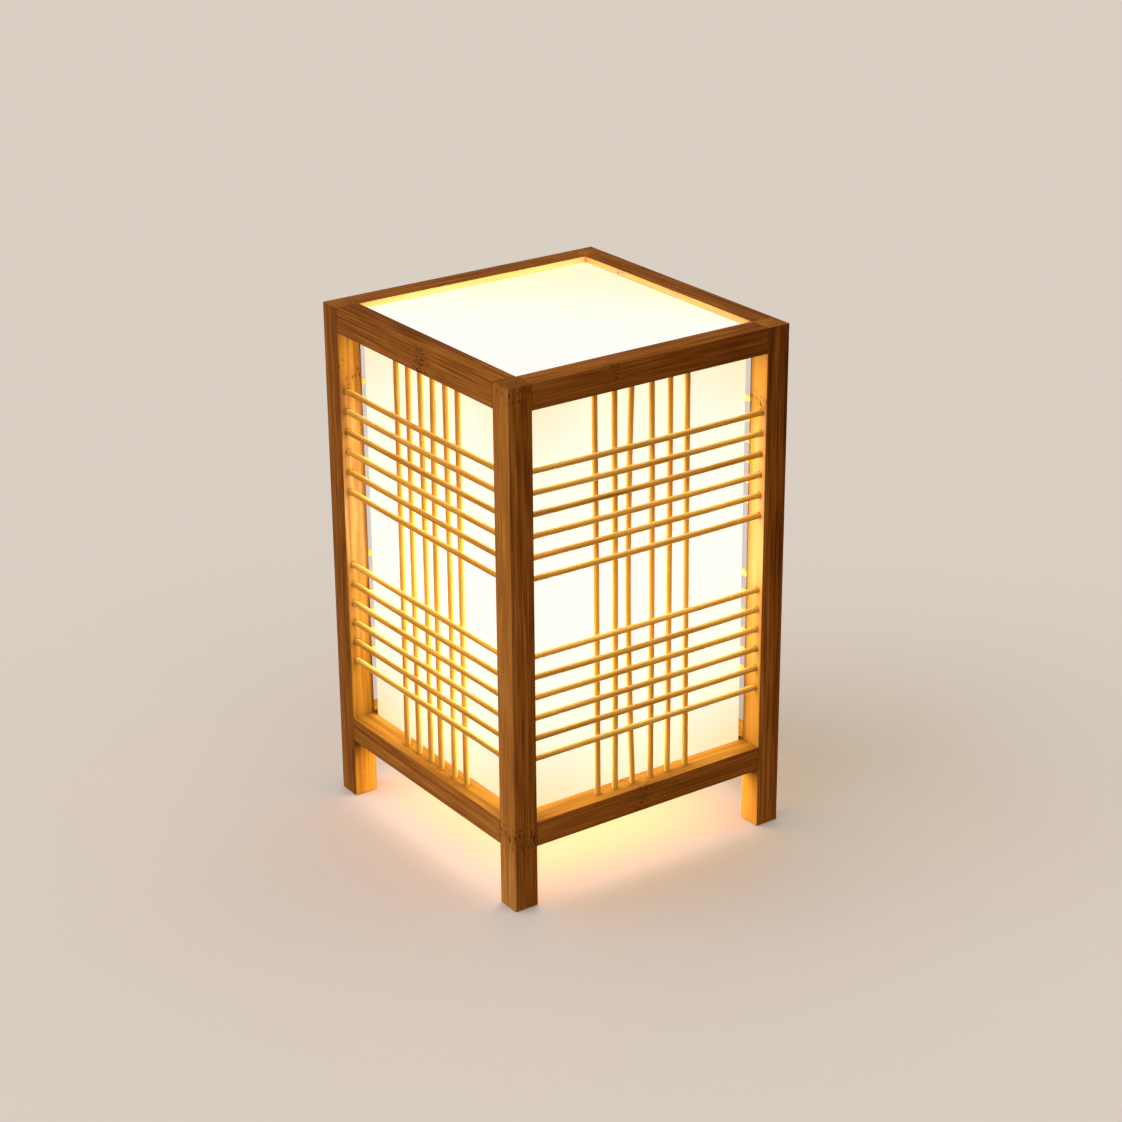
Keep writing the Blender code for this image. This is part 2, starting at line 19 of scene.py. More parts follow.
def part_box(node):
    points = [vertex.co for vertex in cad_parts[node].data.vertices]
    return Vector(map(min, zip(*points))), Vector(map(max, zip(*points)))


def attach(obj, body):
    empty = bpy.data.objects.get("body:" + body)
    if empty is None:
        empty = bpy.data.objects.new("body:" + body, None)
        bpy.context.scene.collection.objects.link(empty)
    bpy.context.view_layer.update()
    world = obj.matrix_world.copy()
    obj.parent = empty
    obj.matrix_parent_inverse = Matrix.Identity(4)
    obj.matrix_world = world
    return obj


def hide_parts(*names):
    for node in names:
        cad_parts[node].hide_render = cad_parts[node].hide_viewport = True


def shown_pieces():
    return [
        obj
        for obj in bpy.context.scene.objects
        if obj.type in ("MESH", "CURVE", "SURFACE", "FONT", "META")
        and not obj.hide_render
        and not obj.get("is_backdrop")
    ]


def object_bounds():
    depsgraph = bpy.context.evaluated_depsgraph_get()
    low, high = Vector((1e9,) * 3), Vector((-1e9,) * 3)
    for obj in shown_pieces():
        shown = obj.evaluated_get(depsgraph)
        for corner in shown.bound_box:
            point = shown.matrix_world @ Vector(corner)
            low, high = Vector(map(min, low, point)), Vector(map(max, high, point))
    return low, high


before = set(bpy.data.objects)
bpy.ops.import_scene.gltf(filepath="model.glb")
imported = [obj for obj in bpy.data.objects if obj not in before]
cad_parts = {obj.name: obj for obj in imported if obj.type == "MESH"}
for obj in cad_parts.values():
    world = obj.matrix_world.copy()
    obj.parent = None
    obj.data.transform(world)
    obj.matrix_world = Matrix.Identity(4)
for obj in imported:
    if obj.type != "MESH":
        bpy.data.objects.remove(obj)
cad_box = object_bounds()

log = logging.getLogger("bamboo_lamp")

MM = 0.001
# Faces over this area stay flat, so that rounded arrises don't bend their shading
FLAT_AREA = 4.0 * MM * MM
# The middle of a noise's range, in each part of its colour
NOISE_MIDDLE = (0.5, 0.5, 0.5)
UP = (0.0, 0.0, 1.0)
DOWN = (0.0, 0.0, -1.0)

Pair = tuple[float, float]
Point = tuple[float, float, float]
Stops = tuple[tuple[float, str], ...]
# A lamp's radiance and its linear colour
Light = tuple[float, Point]
Node = bpy.types.Node
Socket = bpy.types.NodeSocket
Material = bpy.types.Material
Mesh = bpy.types.Mesh
Piece = bpy.types.Object
Shape = bmesh.types.BMesh


class Axis(Enum):
    """The axis that a member's fibres run along."""

    X = 0
    Y = 1
    Z = 2


class Side(Enum):
    """A side of the lamp, by its name and its turn about +Z from the front in degrees."""

    FRONT = ("front", 0)
    RIGHT = ("right", 90)
    BACK = ("back", 180)
    LEFT = ("left", 270)

    @property
    def label(self) -> str:
        """The side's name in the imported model."""
        return self.value[0]

    @property
    def turn(self) -> Matrix:
        """The turn that takes the front to this side."""
        return Matrix.Rotation(math.radians(self.value[1]), 4, "Z")

    @property
    def rail_axis(self) -> Axis:
        """The axis that this side's rails run along."""
        return Axis.X if self.value[1] % 180 == 0 else Axis.Y


class Face(Enum):
    """A face of a member, by the axis that it looks along and which way."""

    LEFT = (0, -1)
    RIGHT = (0, 1)
    FRONT = (1, -1)
    BACK = (1, 1)
    UNDER = (2, -1)
    TOP = (2, 1)

    @classmethod
    def of(cls, normal: Vector) -> "Face":
        """The face that looks most nearly along a normal."""
        axis = max(range(3), key=lambda index: abs(normal[index]))
        return cls((axis, 1 if normal[axis] > 0 else -1))


class Spread(Enum):
    """How the light lies on an opal sheet."""

    UPRIGHT = "brightest at the bulb's height, yellower towards the rails"
    LEVEL = "brightest near the front and the left, creamier towards the back and the right"


class Lit(Enum):
    """What a light falls on or is stopped by, named as its collection."""

    FLOOR = "floor_only"
    PIECES = "every_piece"
    NOT_SHEETS = "pieces_but_sheets"
    STOUT = "pieces_but_sheets_and_sticks"
    STICKS = "all_sticks"
    SHADED_STICKS = "sticks_but_left"
    FRAME = "bamboo_frame"
    ROUND_THE_POOL = "round_the_pool"


def linear(hex_colour: str, alpha: float = 1.0) -> tuple[float, float, float, float]:
    """Turns an sRGB hex colour to linear.

    Args:
        hex_colour: The colour as #rrggbb.
        alpha: The alpha that goes with it.

    Returns:
        Linear red, green and blue, and the alpha.
    """
    shares = [int(hex_colour[start : start + 2], 16) / 255 for start in (1, 3, 5)]
    red, green, blue = (s / 12.92 if s <= 0.04045 else ((s + 0.055) / 1.055) ** 2.4 for s in shares)
    return red, green, blue, alpha


@dataclass
class Graph:
    """A node tree that is being built, of a material, the world or Geometry Nodes."""

    tree: bpy.types.NodeTree

    @classmethod
    def group(cls, name: str, sizes: Mapping[str, str]) -> tuple["Graph", Sequence[Socket]]:
        """Starts a Geometry Nodes tree that takes a geometry, sizes and a material.

        Args:
            name: The tree's name.
            sizes: The kind of each size by its name.

        Returns:
            The graph and the tree's inputs.
        """
        graph = cls(bpy.data.node_groups.new(name, "GeometryNodeTree"))
        for label, kind in {"Geometry": "Geometry", **sizes, "Material": "Material"}.items():
            graph.tree.interface.new_socket(label, in_out="INPUT", socket_type=f"NodeSocket{kind}")
        graph.tree.interface.new_socket("Geometry", in_out="OUTPUT", socket_type="NodeSocketGeometry")
        return graph, graph.add("NodeGroupInput").outputs

    def end_group(self, geometry: Node, material: Socket) -> bpy.types.NodeTree:
        """Ends a Geometry Nodes tree in plain geometry with a material.

        Args:
            geometry: The geometry.
            material: The material.

        Returns:
            The tree.
        """
        whole = self.add("GeometryNodeRealizeInstances", {"Geometry": geometry})
        dressed = self.add("GeometryNodeSetMaterial", {"Geometry": whole, "Material": material})
        self.add("NodeGroupOutput", {"Geometry": dressed})
        return self.tree

    def add(self, kind: str, inputs: Mapping | None = None, stops: Stops = (), **settings: object) -> Node:
        """Adds a node with its settings, values and links.

        Args:
            kind: The node's type.
            inputs: What its inputs get, as for feed.
            stops: Places and sRGB colours of a colour ramp.
            **settings: The node's own properties.

        Returns:
            The new node.
        """
        node = self.tree.nodes.new(kind)
        for name, value in settings.items():
            setattr(node, name, value)
        if stops:
            elements = node.color_ramp.elements
            while len(elements) < len(stops):
                elements.new(1.0)
            for element, (place, colour) in zip(elements, stops):
                element.position = place
                element.color = linear(colour)
        self.feed(node, inputs or {})
        return node

    def feed(self, node: Node, inputs: Mapping) -> None:
        """Gives a node's inputs their values and links.

        Args:
            node: The node.
            inputs: Values, sockets or nodes (for their first output) by the input's name or number.
        """
        for key, value in inputs.items():
            if isinstance(value, Node):
                value = value.outputs[0]
            if isinstance(value, Socket):
                self.tree.links.new(value, node.inputs[key])
            else:
                node.inputs[key].default_value = value

    def maths(self, operation: str, *values: object) -> Node:
        """Adds a node that works out a number."""
        return self.add("ShaderNodeMath", dict(enumerate(values)), operation=operation)

    def vectors(self, operation: str, *values: object) -> Node:
        """Adds a node that works out a vector."""
        return self.add("ShaderNodeVectorMath", dict(enumerate(values)), operation=operation)

    def scaled(self, vector: object, scale: object) -> Node:
        """Adds a vector times a number."""
        return self.add("ShaderNodeVectorMath", {0: vector, "Scale": scale}, operation="SCALE")

    def split(self, vector: object) -> Sequence[Socket]:
        """The three parts of a vector."""
        return self.add("ShaderNodeSeparateXYZ", {0: vector}).outputs

    def attribute(self, name: str) -> Socket:
        """A vector that the mesh carries."""
        return self.add("ShaderNodeAttribute", attribute_name=name).outputs["Vector"]

    def object_place(self) -> Socket:
        """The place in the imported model's frame, in metres."""
        return self.add("ShaderNodeTexCoord").outputs["Object"]

    def ramp(self, share: object, stops: Stops) -> Socket:
        """The colour of a ramp."""
        return self.add("ShaderNodeValToRGB", {0: share}, stops).outputs[0]

    def bump(self, height: Node, strength: float, depth_mm: float) -> Node:
        """Adds a bump whose depth is in millimetres."""
        return self.add("ShaderNodeBump", {"Strength": strength, "Distance": depth_mm * MM, "Height": height})

    def ranged(self, value: object, before: Pair, after: Sequence = (0.0, 1.0), way: str = "LINEAR") -> Node:
        """Adds a number taken from one range to another and held within it.

        Args:
            value: The number.
            before: The range that it comes from.
            after: The range that it goes to.
            way: LINEAR or SMOOTHSTEP.

        Returns:
            The node.
        """
        ends = {"From Min": before[0], "From Max": before[1], "To Min": after[0], "To Max": after[1]}
        return self.add("ShaderNodeMapRange", {"Value": value, **ends}, interpolation_type=way)

    def seeded_noise(
        self, place: object, seed: Socket, detail: float, scale: float = 1.0, roughness: float = 0.5
    ) -> Node:
        """Adds noise that differs from seed to seed.

        Args:
            place: The place.
            seed: The seed.
            detail: The noise's detail.
            scale: Its scale.
            roughness: Its roughness.

        Returns:
            The noise, from 0 to 1.
        """
        inputs = {"Vector": place, "W": seed, "Scale": scale, "Detail": detail, "Roughness": roughness}
        return self.add("ShaderNodeTexNoise", inputs, noise_dimensions="4D")

    def drawn_out(self, place: object, length: float, width: float) -> Node:
        """Adds the place counted in grains of a length and width."""
        return self.add("ShaderNodeMapping", {"Vector": place, "Scale": (1 / length, 1 / width, 1 / width)})

    def fibres(self, place: object, seed: Socket, grain: Point, roughness: float = 0.5) -> Node:
        """Adds noise drawn out along the fibres.

        Args:
            place: The place in the member, in millimetres.
            seed: The member's seed.
            grain: Length and width of a streak in millimetres, and the noise's detail.
            roughness: The noise's roughness.

        Returns:
            The noise, from 0 to 1.
        """
        length, width, detail = grain
        return self.seeded_noise(self.drawn_out(place, length, width), seed, detail, roughness=roughness)

    def weighted(self, parts: Iterable[tuple[Node, float]]) -> Node:
        """Adds up noises about their middle, each times its weight.

        Args:
            parts: The noises and their weights.

        Returns:
            The sum.
        """
        scaled = [self.maths("MULTIPLY_ADD", noise, weight, -weight / 2) for noise, weight in parts]
        return reduce(lambda total, part: self.maths("ADD", total, part), scaled)


def new_finish(name: str) -> tuple[Material, Graph, Node]:
    """Makes a material with a plain Principled shader.

    Args:
        name: The material's name.

    Returns:
        The material, its graph and its shader.
    """
    made = bpy.data.materials.new(name)
    made.use_nodes = True
    return made, Graph(made.node_tree), made.node_tree.nodes["Principled BSDF"]


@dataclass(frozen=True)
class LaminatedBamboo:
    """Carbonised bamboo strips glued into square stock, planed and lacquered satin.

    That gives the eye fine dark fibres along the stock, layers of unlike tone with thin glue lines, and now
    and then a node: a band of specks across the fibres. It reads three attributes: grain, the place along and
    across the member in millimetres, member, whose first part is its seed, and look, which holds each face's
    tone and contrast, both partly painted light and shade, and the strength of its node marks.
    """

    name: str = "laminated_bamboo"
    tones: Stops = ((0.10, "#522908"), (0.38, "#7b4712"), (0.60, "#925a1d"), (0.92, "#ae7a31"))
    half_stock_mm: float = 7.25
    # Length and width of each noise's streaks in millimetres, and its detail
    streak: Point = (150.0, 1.7, 3.0)
    fibre: Point = (38.0, 0.55, 2.0)
    cloud: Point = (60.0, 13.0, 2.0)
    noise_roughness: float = 0.6
    # Weights in the tone of streak, fibre, cloud and layer, and in the height of streak, fibre and speck
    tone_weights: tuple[float, ...] = (0.46, 1.08, 0.52, 0.10)
    height_weights: Point = (0.5, 1.0, -0.8)
    layer_mm: float = 4.83
    # A glue line is under 0.1 mm wide: it is drawn 0.4 mm wide so that it shows, and only in patches
    glue_edge: float = 0.455
    glue_patch: Point = (50.0, 2.5, 1.0)
    glue_shown: Pair = (0.42, 0.62)
    glue_tone: float = -0.16
    glue_height: float = -0.5
    node_tint: str = "#5a3212"
    node_weight: float = 0.16
    node_spacing_mm: float = 256.0
    node_band_mm: float = 9.5
    node_slant: float = 0.3
    node_wander: Point = (20.0, 4.545455, 2.0)
    node_wander_mm: float = 6.0
    # How far the fibres swerve at a node, and how fast the swerve changes along them
    swerve_mm: float = 5.0
    swerve_scale: float = 0.3
    speck_tint: str = "#3c1b07"
    speck_weight: float = 0.95
    speck_mm: Pair = (3.8, 0.85)
    speck_rim: Pair = (0.47, 0.30)
    # The arrises are drawn a deeper colour, within these distances of them
    arris_weight: float = 0.25
    arris_mm: Pair = (0.9, 0.1)
    fibre_range: Pair = (0.3, 0.7)
    roughness: Pair = (0.50, 0.36)

    def make(self) -> Material:
        """Builds the material.

        Returns:
            The material.
        """
        made, graph, shader = new_finish(self.name)
        place = graph.attribute("grain")
        seed = graph.split(graph.attribute("member"))["X"]
        tone, contrast, marks = graph.split(graph.attribute("look"))
        near = self._near_node(graph, place, seed, marks)
        swirl = graph.add("ShaderNodeTexNoise", {"Vector": place, "Scale": self.swerve_scale, "Detail": 1.0})
        swerve = graph.vectors("SUBTRACT", swirl.outputs["Color"], NOISE_MIDDLE)
        swerve = graph.scaled(swerve, graph.maths("MULTIPLY", near, self.swerve_mm))
        swerved = graph.vectors("ADD", place, swerve)
        streak = graph.fibres(swerved, seed, self.streak, self.noise_roughness)
        fibre = graph.fibres(swerved, seed, self.fibre, self.noise_roughness)
        cloud = graph.fibres(place, seed, self.cloud, self.noise_roughness)
        glue, layer = self._layers(graph, place, seed)
        speck = self._specks(graph, place, near)
        figure = graph.weighted(zip((streak, fibre, cloud, layer), self.tone_weights))
        shade = graph.maths("MULTIPLY_ADD", figure, contrast, graph.maths("ADD", tone, 0.5))
        shade = graph.maths("MULTIPLY_ADD", glue, self.glue_tone, shade)
        colour = graph.ramp(shade, self.tones)
        for mask, weight, tint in (
            (near, self.node_weight, self.node_tint),
            (self._arrises(graph, place), self.arris_weight, self.node_tint),
            (speck, self.speck_weight, self.speck_tint),
        ):
            share = graph.maths("MULTIPLY", mask, weight)
            blend = {"Factor": share, 6: colour, 7: linear(tint)}
            colour = graph.add("ShaderNodeMix", blend, data_type="RGBA").outputs[2]
        height = graph.weighted(zip((streak, fibre, speck), self.height_weights))
        height = graph.maths("MULTIPLY_ADD", glue, self.glue_height, height)
        dressed = {
            "Base Color": colour,
            "Roughness": graph.ranged(fibre, self.fibre_range, self.roughness),
            "Normal": graph.bump(height, 0.15, 0.2),
            "IOR": 1.5,
            "Specular IOR Level": 0.006,
        }
        graph.feed(shader, dressed)
        return made

    def _near_node(self, graph: Graph, place: Socket, seed: Socket, marks: Socket) -> Node:
        """Adds the closeness to a node mark, in a slanting band that wanders.

        Args:
            graph: The material's graph.
            place: The place in the member, in millimetres.
            seed: The member's seed.
            marks: The strength of the face's marks.

        Returns:
            The closeness, from 0 to the strength of the marks.
        """
        along, across, _ = graph.split(place)
        half = self.node_spacing_mm / 2
        wrapped = graph.maths("WRAP", along, half, -half)
        slanted = graph.maths("MULTIPLY_ADD", across, self.node_slant, wrapped)
        wander = graph.fibres(place, seed, self.node_wander)
        shift = graph.maths("MULTIPLY_ADD", wander, self.node_wander_mm, -self.node_wander_mm / 2)
        away = graph.maths("ABSOLUTE", graph.maths("ADD", slanted, shift))
        return graph.ranged(away, (0.0, self.node_band_mm), (marks, 0.0), "SMOOTHSTEP")

    def _layers(self, graph: Graph, place: Socket, seed: Socket) -> tuple[Node, Node]:
        """Adds the glued layers.

        Args:
            graph: The material's graph.
            place: The place in the member, in millimetres.
            seed: The member's seed.

        Returns:
            The glue lines, from 0 to 1, and each layer's own tone.
        """
        deep = graph.split(place)["Z"]
        count = graph.maths("MULTIPLY_ADD", deep, 1 / self.layer_mm, self.half_stock_mm / self.layer_mm)
        both = graph.add("ShaderNodeCombineXYZ", {0: graph.maths("FLOOR", count), 1: seed})
        layer = graph.add("ShaderNodeTexWhiteNoise", {"Vector": both}, noise_dimensions="3D")
        off_middle = graph.maths("SUBTRACT", graph.maths("FRACT", count), 0.5)
        line = graph.ranged(graph.maths("ABSOLUTE", off_middle), (self.glue_edge, 0.5))
        shown = graph.ranged(graph.fibres(place, seed, self.glue_patch), self.glue_shown)
        return graph.maths("MULTIPLY", line, shown), layer

    def _specks(self, graph: Graph, place: Socket, near: Node) -> Node:
        """Adds the dark specks in a node mark, close in its middle and thinning out towards its ends.

        Args:
            graph: The material's graph.
            place: The place in the member, in millimetres.
            near: The closeness to a mark.

        Returns:
            The specks, from 0 to 1.
        """
        spot = graph.drawn_out(place, *self.speck_mm)
        cells = graph.add("ShaderNodeTexVoronoi", {"Vector": spot, "Scale": 1.0, "Randomness": 1.0})
        chance = graph.add("ShaderNodeSeparateColor", {0: cells.outputs["Color"]})
        chosen = graph.maths("LESS_THAN", chance, near)
        return graph.maths("MULTIPLY", graph.ranged(cells, self.speck_rim), chosen)

    def _arrises(self, graph: Graph, place: Socket) -> Node:
        """Adds the nearness to an arris.

        Args:
            graph: The material's graph.
            place: The place in the member, in millimetres.

        Returns:
            The nearness, from 0 to 1.
        """
        _, across, deep = graph.split(place)
        least = graph.maths("MINIMUM", graph.maths("ABSOLUTE", across), graph.maths("ABSOLUTE", deep))
        start, end = (self.half_stock_mm - distance for distance in self.arris_mm)
        return graph.ranged(least, (start, end), way="SMOOTHSTEP")


@dataclass(frozen=True)
class BambooStick:
    """Drawn bamboo sticks with the skin taken off, waxed.

    That gives the eye a honey colour with fine lengthwise fibres, a soft sheen, and a painted glow, an
    emission that stands in for the light that soaks through from the shade behind, most at the bulb's height.
    It reads two attributes: grain, the place along and across the stick in millimetres, and member, which
    holds its seed, its share of the painted glow and its tone.
    """

    name: str = "drawn_bamboo_stick"
    tones: Stops = ((0.15, "#8a5d16"), (0.45, "#be8b31"), (0.65, "#cd9d40"), (0.95, "#dcb45b"))
    soaked: str = "#965f1c"
    # Length and width of each noise's streaks in millimetres, and its detail
    fibre: Point = (30.0, 0.6, 3.0)
    cloud: Point = (45.0, 4.0, 3.0)
    tone_weights: Pair = (0.8, 0.7)
    bulb_height_mm: float = 165.0
    bulb_reach_mm: float = 80.0
    # Shares of the painted glow at the bulb's height and out of its reach
    soak_range: Pair = (1.0, 0.3)

    def make(self) -> Material:
        """Builds the material.

        Returns:
            The material.
        """
        made, graph, shader = new_finish(self.name)
        place = graph.attribute("grain")
        seed, soak, tone = graph.split(graph.attribute("member"))
        fibre = graph.fibres(place, seed, self.fibre)
        cloud = graph.fibres(place, seed, self.cloud)
        figure = graph.weighted(zip((fibre, cloud), self.tone_weights))
        shade = graph.maths("ADD", graph.maths("ADD", tone, 0.5), figure)
        height = graph.split(graph.object_place())["Z"]
        off_bulb = graph.maths("ABSOLUTE", graph.maths("SUBTRACT", height, self.bulb_height_mm * MM))
        share = graph.ranged(off_bulb, (0.0, self.bulb_reach_mm * MM), self.soak_range, "SMOOTHSTEP")
        through = graph.maths("MULTIPLY", share, soak)
        dressed = {
            "Base Color": graph.ramp(shade, self.tones),
            # Painted glow: emission for the light that soaks through, strongest at the bulb's height
            "Emission Color": graph.ramp(through, ((0.0, "#000000"), (1.0, self.soaked))),
            "Emission Strength": 1.0,
            "Roughness": 0.45,
            "Normal": graph.bump(fibre, 0.25, 0.15),
            "IOR": 1.5,
            "Specular IOR Level": 0.05,
            "Subsurface Weight": 0.80,
            "Subsurface Radius": (1.0, 0.72, 0.35),
            "Subsurface Scale": 2.2 * MM,
        }
        graph.feed(shader, dressed)
        return made


@dataclass(frozen=True)
class OpalSheet:
    """Opal acrylic sheet, cast smooth, with a lit bulb behind it.

    That gives the eye a white glow that turns cream away from the bulb, and a soft gloss. The sheet sends
    back about a fifth of the light that falls on it, because the rest goes through.
    """

    name: str
    spread: Spread
    strength: float
    reflectance: str = "#7c7974"
    glow: Stops = (
        (0.0, "#fefefc"),
        (0.19, "#fefdf3"),
        (0.39, "#fefbe8"),
        (0.53, "#fef7da"),
        (0.71, "#fef1cb"),
        (0.97, "#fde6b2"),
    )
    # The ramp's far end stands for this many times the distance at which the glow has turned cream
    glow_reach: float = 1.35
    bulb_height_mm: float = 165.0
    # Distances from the bulb, sideways, up and down, at which a side sheet's glow has turned cream
    cream_mm: Point = (75.0, 125.0, 107.0)
    # How a side sheet's glow falls off: sideways alone, and up and down at its middle and more at its edges
    sideways_share: float = 0.06
    upright_share: float = 0.8
    corner_share: float = 0.35
    # Places on the top sheet, as X plus Y, of its whitest and creamiest corners, and how cream it gets
    level_mm: Pair = (-70.0, 130.0)
    level_cream: float = 0.84
    mottle_mm: float = 6.0
    mottle_share: float = 0.06
    mottle_range: Pair = (0.3, 0.7)
    roughness: Pair = (0.32, 0.44)

    def make(self) -> Material:
        """Builds the material.

        Returns:
            The material.
        """
        made, graph, shader = new_finish(self.name)
        in_mm = graph.scaled(graph.object_place(), 1 / MM)
        away = self._upright(graph, in_mm) if self.spread is Spread.UPRIGHT else self._level(graph, in_mm)
        cloudy = {"Vector": in_mm, "Scale": 1 / self.mottle_mm, "Detail": 3.0}
        mottle = graph.add("ShaderNodeTexNoise", cloudy)
        away = graph.maths("MULTIPLY_ADD", mottle, self.mottle_share, away)
        dressed = {
            "Base Color": linear(self.reflectance),
            "Emission Color": graph.ramp(graph.maths("DIVIDE", away, self.glow_reach), self.glow),
            "Emission Strength": self.strength,
            "Roughness": graph.ranged(mottle, self.mottle_range, self.roughness),
            "Normal": graph.bump(mottle, 0.05, 0.1),
            "IOR": 1.49,
        }
        graph.feed(shader, dressed)
        return made

    def _upright(self, graph: Graph, in_mm: Node) -> Node:
        """Adds the distance from the bulb on a side sheet.

        Args:
            graph: The material's graph.
            in_mm: The place in millimetres.

        Returns:
            The distance, 1 where the glow has turned cream.
        """
        x, y, z = graph.split(in_mm)
        beside, above, below = self.cream_mm
        sideways = graph.maths("MINIMUM", graph.maths("ABSOLUTE", x), graph.maths("ABSOLUTE", y))
        sideways = graph.maths("POWER", graph.maths("DIVIDE", sideways, beside), 2.0)
        rise = graph.maths("SUBTRACT", z, self.bulb_height_mm)
        up = graph.maths("MULTIPLY", rise, 1 / above)
        down = graph.maths("MULTIPLY", rise, -1 / below)
        far = graph.maths("POWER", graph.maths("MAXIMUM", up, down), 2.0)
        corner = graph.maths("MULTIPLY_ADD", sideways, self.corner_share, self.upright_share)
        far = graph.maths("MULTIPLY", far, corner)
        return graph.maths("MULTIPLY_ADD", sideways, self.sideways_share, far)

    def _level(self, graph: Graph, in_mm: Node) -> Node:
        """Adds the distance from the brightest place on the top sheet.

        Args:
            graph: The material's graph.
            in_mm: The place in millimetres.

        Returns:
            The distance, 1 where the glow has turned cream.
        """
        x, y, _ = graph.split(in_mm)
        return graph.ranged(graph.maths("ADD", x, y), self.level_mm, (0.0, self.level_cream), "SMOOTHSTEP")


@dataclass(frozen=True)
class PlainFinish:
    """A moulded, glazed, spun or turned surface: one colour with a mottle, a fine bump and uneven gloss."""

    name: str
    light: str
    dark: str
    roughness: Pair
    mottle_mm: Point
    bump_mm: float = 0.05
    metallic: float = 0.0
    ior: float = 1.5
    coat: float = 0.0
    emission: str = "#000000"
    emission_strength: float = 0.0
    mottle_range: Pair = (0.3, 0.7)

    def make(self) -> Material:
        """Builds the material.

        Returns:
            The material.
        """
        made, graph, shader = new_finish(self.name)
        scale = tuple(1 / (size * MM) for size in self.mottle_mm)
        spot = graph.add("ShaderNodeMapping", {"Vector": graph.object_place(), "Scale": scale})
        mottle = graph.add("ShaderNodeTexNoise", {"Vector": spot, "Scale": 1.0, "Detail": 4.0})
        darkest, lightest = self.mottle_range
        dressed = {
            "Base Color": graph.ramp(mottle, ((darkest, self.dark), (lightest, self.light))),
            "Roughness": graph.ranged(mottle, self.mottle_range, self.roughness),
            "Normal": graph.bump(mottle, 0.2, self.bump_mm),
            "Metallic": self.metallic,
            "IOR": self.ior,
            "Coat Weight": self.coat,
        }
        if self.emission_strength:
            dressed |= {"Emission Color": linear(self.emission), "Emission Strength": self.emission_strength}
        graph.feed(shader, dressed)
        return made


# Glazed porcelain: white clay under clear glass, so a wet gloss with a faint waviness.
PORCELAIN = PlainFinish(
    "glazed_porcelain", "#efece2", "#e2ddd0", (0.12, 0.22), (9.0, 9.0, 9.0), 0.08, coat=0.5
)
# Spun brass: yellow metal with turning marks round the axis, dulled a little by handling.
BRASS = PlainFinish("spun_brass", "#e3c078", "#c79a4c", (0.22, 0.36), (6.0, 6.0, 0.5), 0.02, metallic=1.0)
# Zinc plated steel: grey metal with a cloudy plating.
STEEL = PlainFinish(
    "zinc_plated_steel", "#c6c7c9", "#a5a7aa", (0.28, 0.42), (1.2, 1.2, 1.2), 0.02, metallic=1.0
)
# Moulded nylon: black, with the fine even texture of its mould.
NYLON = PlainFinish(
    "moulded_black_nylon", "#26272a", "#191a1c", (0.42, 0.56), (0.7, 0.7, 0.7), 0.03, ior=1.53
)
# Moulded polycarbonate: satin white with a faint mould texture.
BULB_WHITE = PlainFinish(
    "moulded_white_plastic", "#eceae4", "#e2dfd7", (0.34, 0.46), (0.8, 0.8, 0.8), 0.02, ior=1.58
)
# Rolled aluminium: pale metal with marks round the axis from the rolling of its thread.
ALUMINIUM = PlainFinish(
    "rolled_aluminium", "#d3d5d7", "#b7babd", (0.25, 0.40), (5.0, 5.0, 0.4), 0.02, metallic=1.0
)
# Opal polycarbonate: milk white and lit from within.
BULB_OPAL = PlainFinish(
    "opal_polycarbonate",
    "#f4efe4",
    "#ece5d6",
    (0.30, 0.40),
    (12.0, 12.0, 12.0),
    0.02,
    ior=1.58,
    emission="#ffe9c4",
    emission_strength=0.9,
)


def mesh_piece(name: str, mesh: Mesh, material: Material) -> Piece:
    """Links a new object with this mesh and material.

    Args:
        name: The piece's name.
        mesh: Its mesh, in place.
        material: Its material.

    Returns:
        The object.
    """
    mesh.name = name
    mesh.materials.clear()
    mesh.materials.append(material)
    made = bpy.data.objects.new(name, mesh)
    bpy.context.scene.collection.objects.link(made)
    return made


def dress(node: str, name: str, mesh: Mesh, material: Material, body: str) -> None:
    """Makes a mesh the piece for a node: it rides on a body, has a finish and hides the node.

    Args:
        node: The node that it stands for.
        name: The piece's name.
        mesh: Its mesh, in place.
        material: Its material.
        body: The body that it rides on.
    """
    piece = mesh_piece(name, mesh, material)
    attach(piece, body)
    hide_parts(node)
    log.info("%s rides on %s for %s", name, body, node)


def scratch_object(mesh: Mesh) -> Piece:
    """Links a scratch object.

    Args:
        mesh: Its mesh.

    Returns:
        The object.
    """
    made = bpy.data.objects.new("scratch", mesh)
    bpy.context.scene.collection.objects.link(made)
    return made


def scratch_mesh(shape: Shape) -> Mesh:
    """Turns a shape to a mesh.

    Args:
        shape: The shape, which is freed.

    Returns:
        The mesh.
    """
    mesh = bpy.data.meshes.new("scratch")
    shape.to_mesh(mesh)
    shape.free()
    return mesh


def remove_scratch(*holders: Piece) -> None:
    """Removes scratch objects and their meshes.

    Args:
        *holders: The objects.
    """
    for holder in holders:
        mesh = holder.data
        bpy.data.objects.remove(holder)
        bpy.data.meshes.remove(mesh)


def grown_mesh(mesh: Mesh, tree: bpy.types.NodeTree, values: Mapping[str, object]) -> Mesh:
    """Runs a Geometry Nodes tree on a mesh and keeps the result as a plain mesh.

    Args:
        mesh: The mesh, which is removed.
        tree: The tree.
        values: The values of its inputs by name.

    Returns:
        The new mesh.
    """
    holder = scratch_object(mesh)
    modifier = holder.modifiers.new(tree.name, "NODES")
    modifier.node_group = tree
    for item in tree.interface.items_tree:
        if item.item_type == "SOCKET" and item.in_out == "INPUT" and item.name in values:
            modifier[item.identifier] = values[item.name]
    graph = bpy.context.evaluated_depsgraph_get()
    evaluated = holder.evaluated_get(graph)
    grown = bpy.data.meshes.new_from_object(evaluated, preserve_all_data_layers=True, depsgraph=graph)
    holder.modifiers.clear()
    remove_scratch(holder)
    return grown


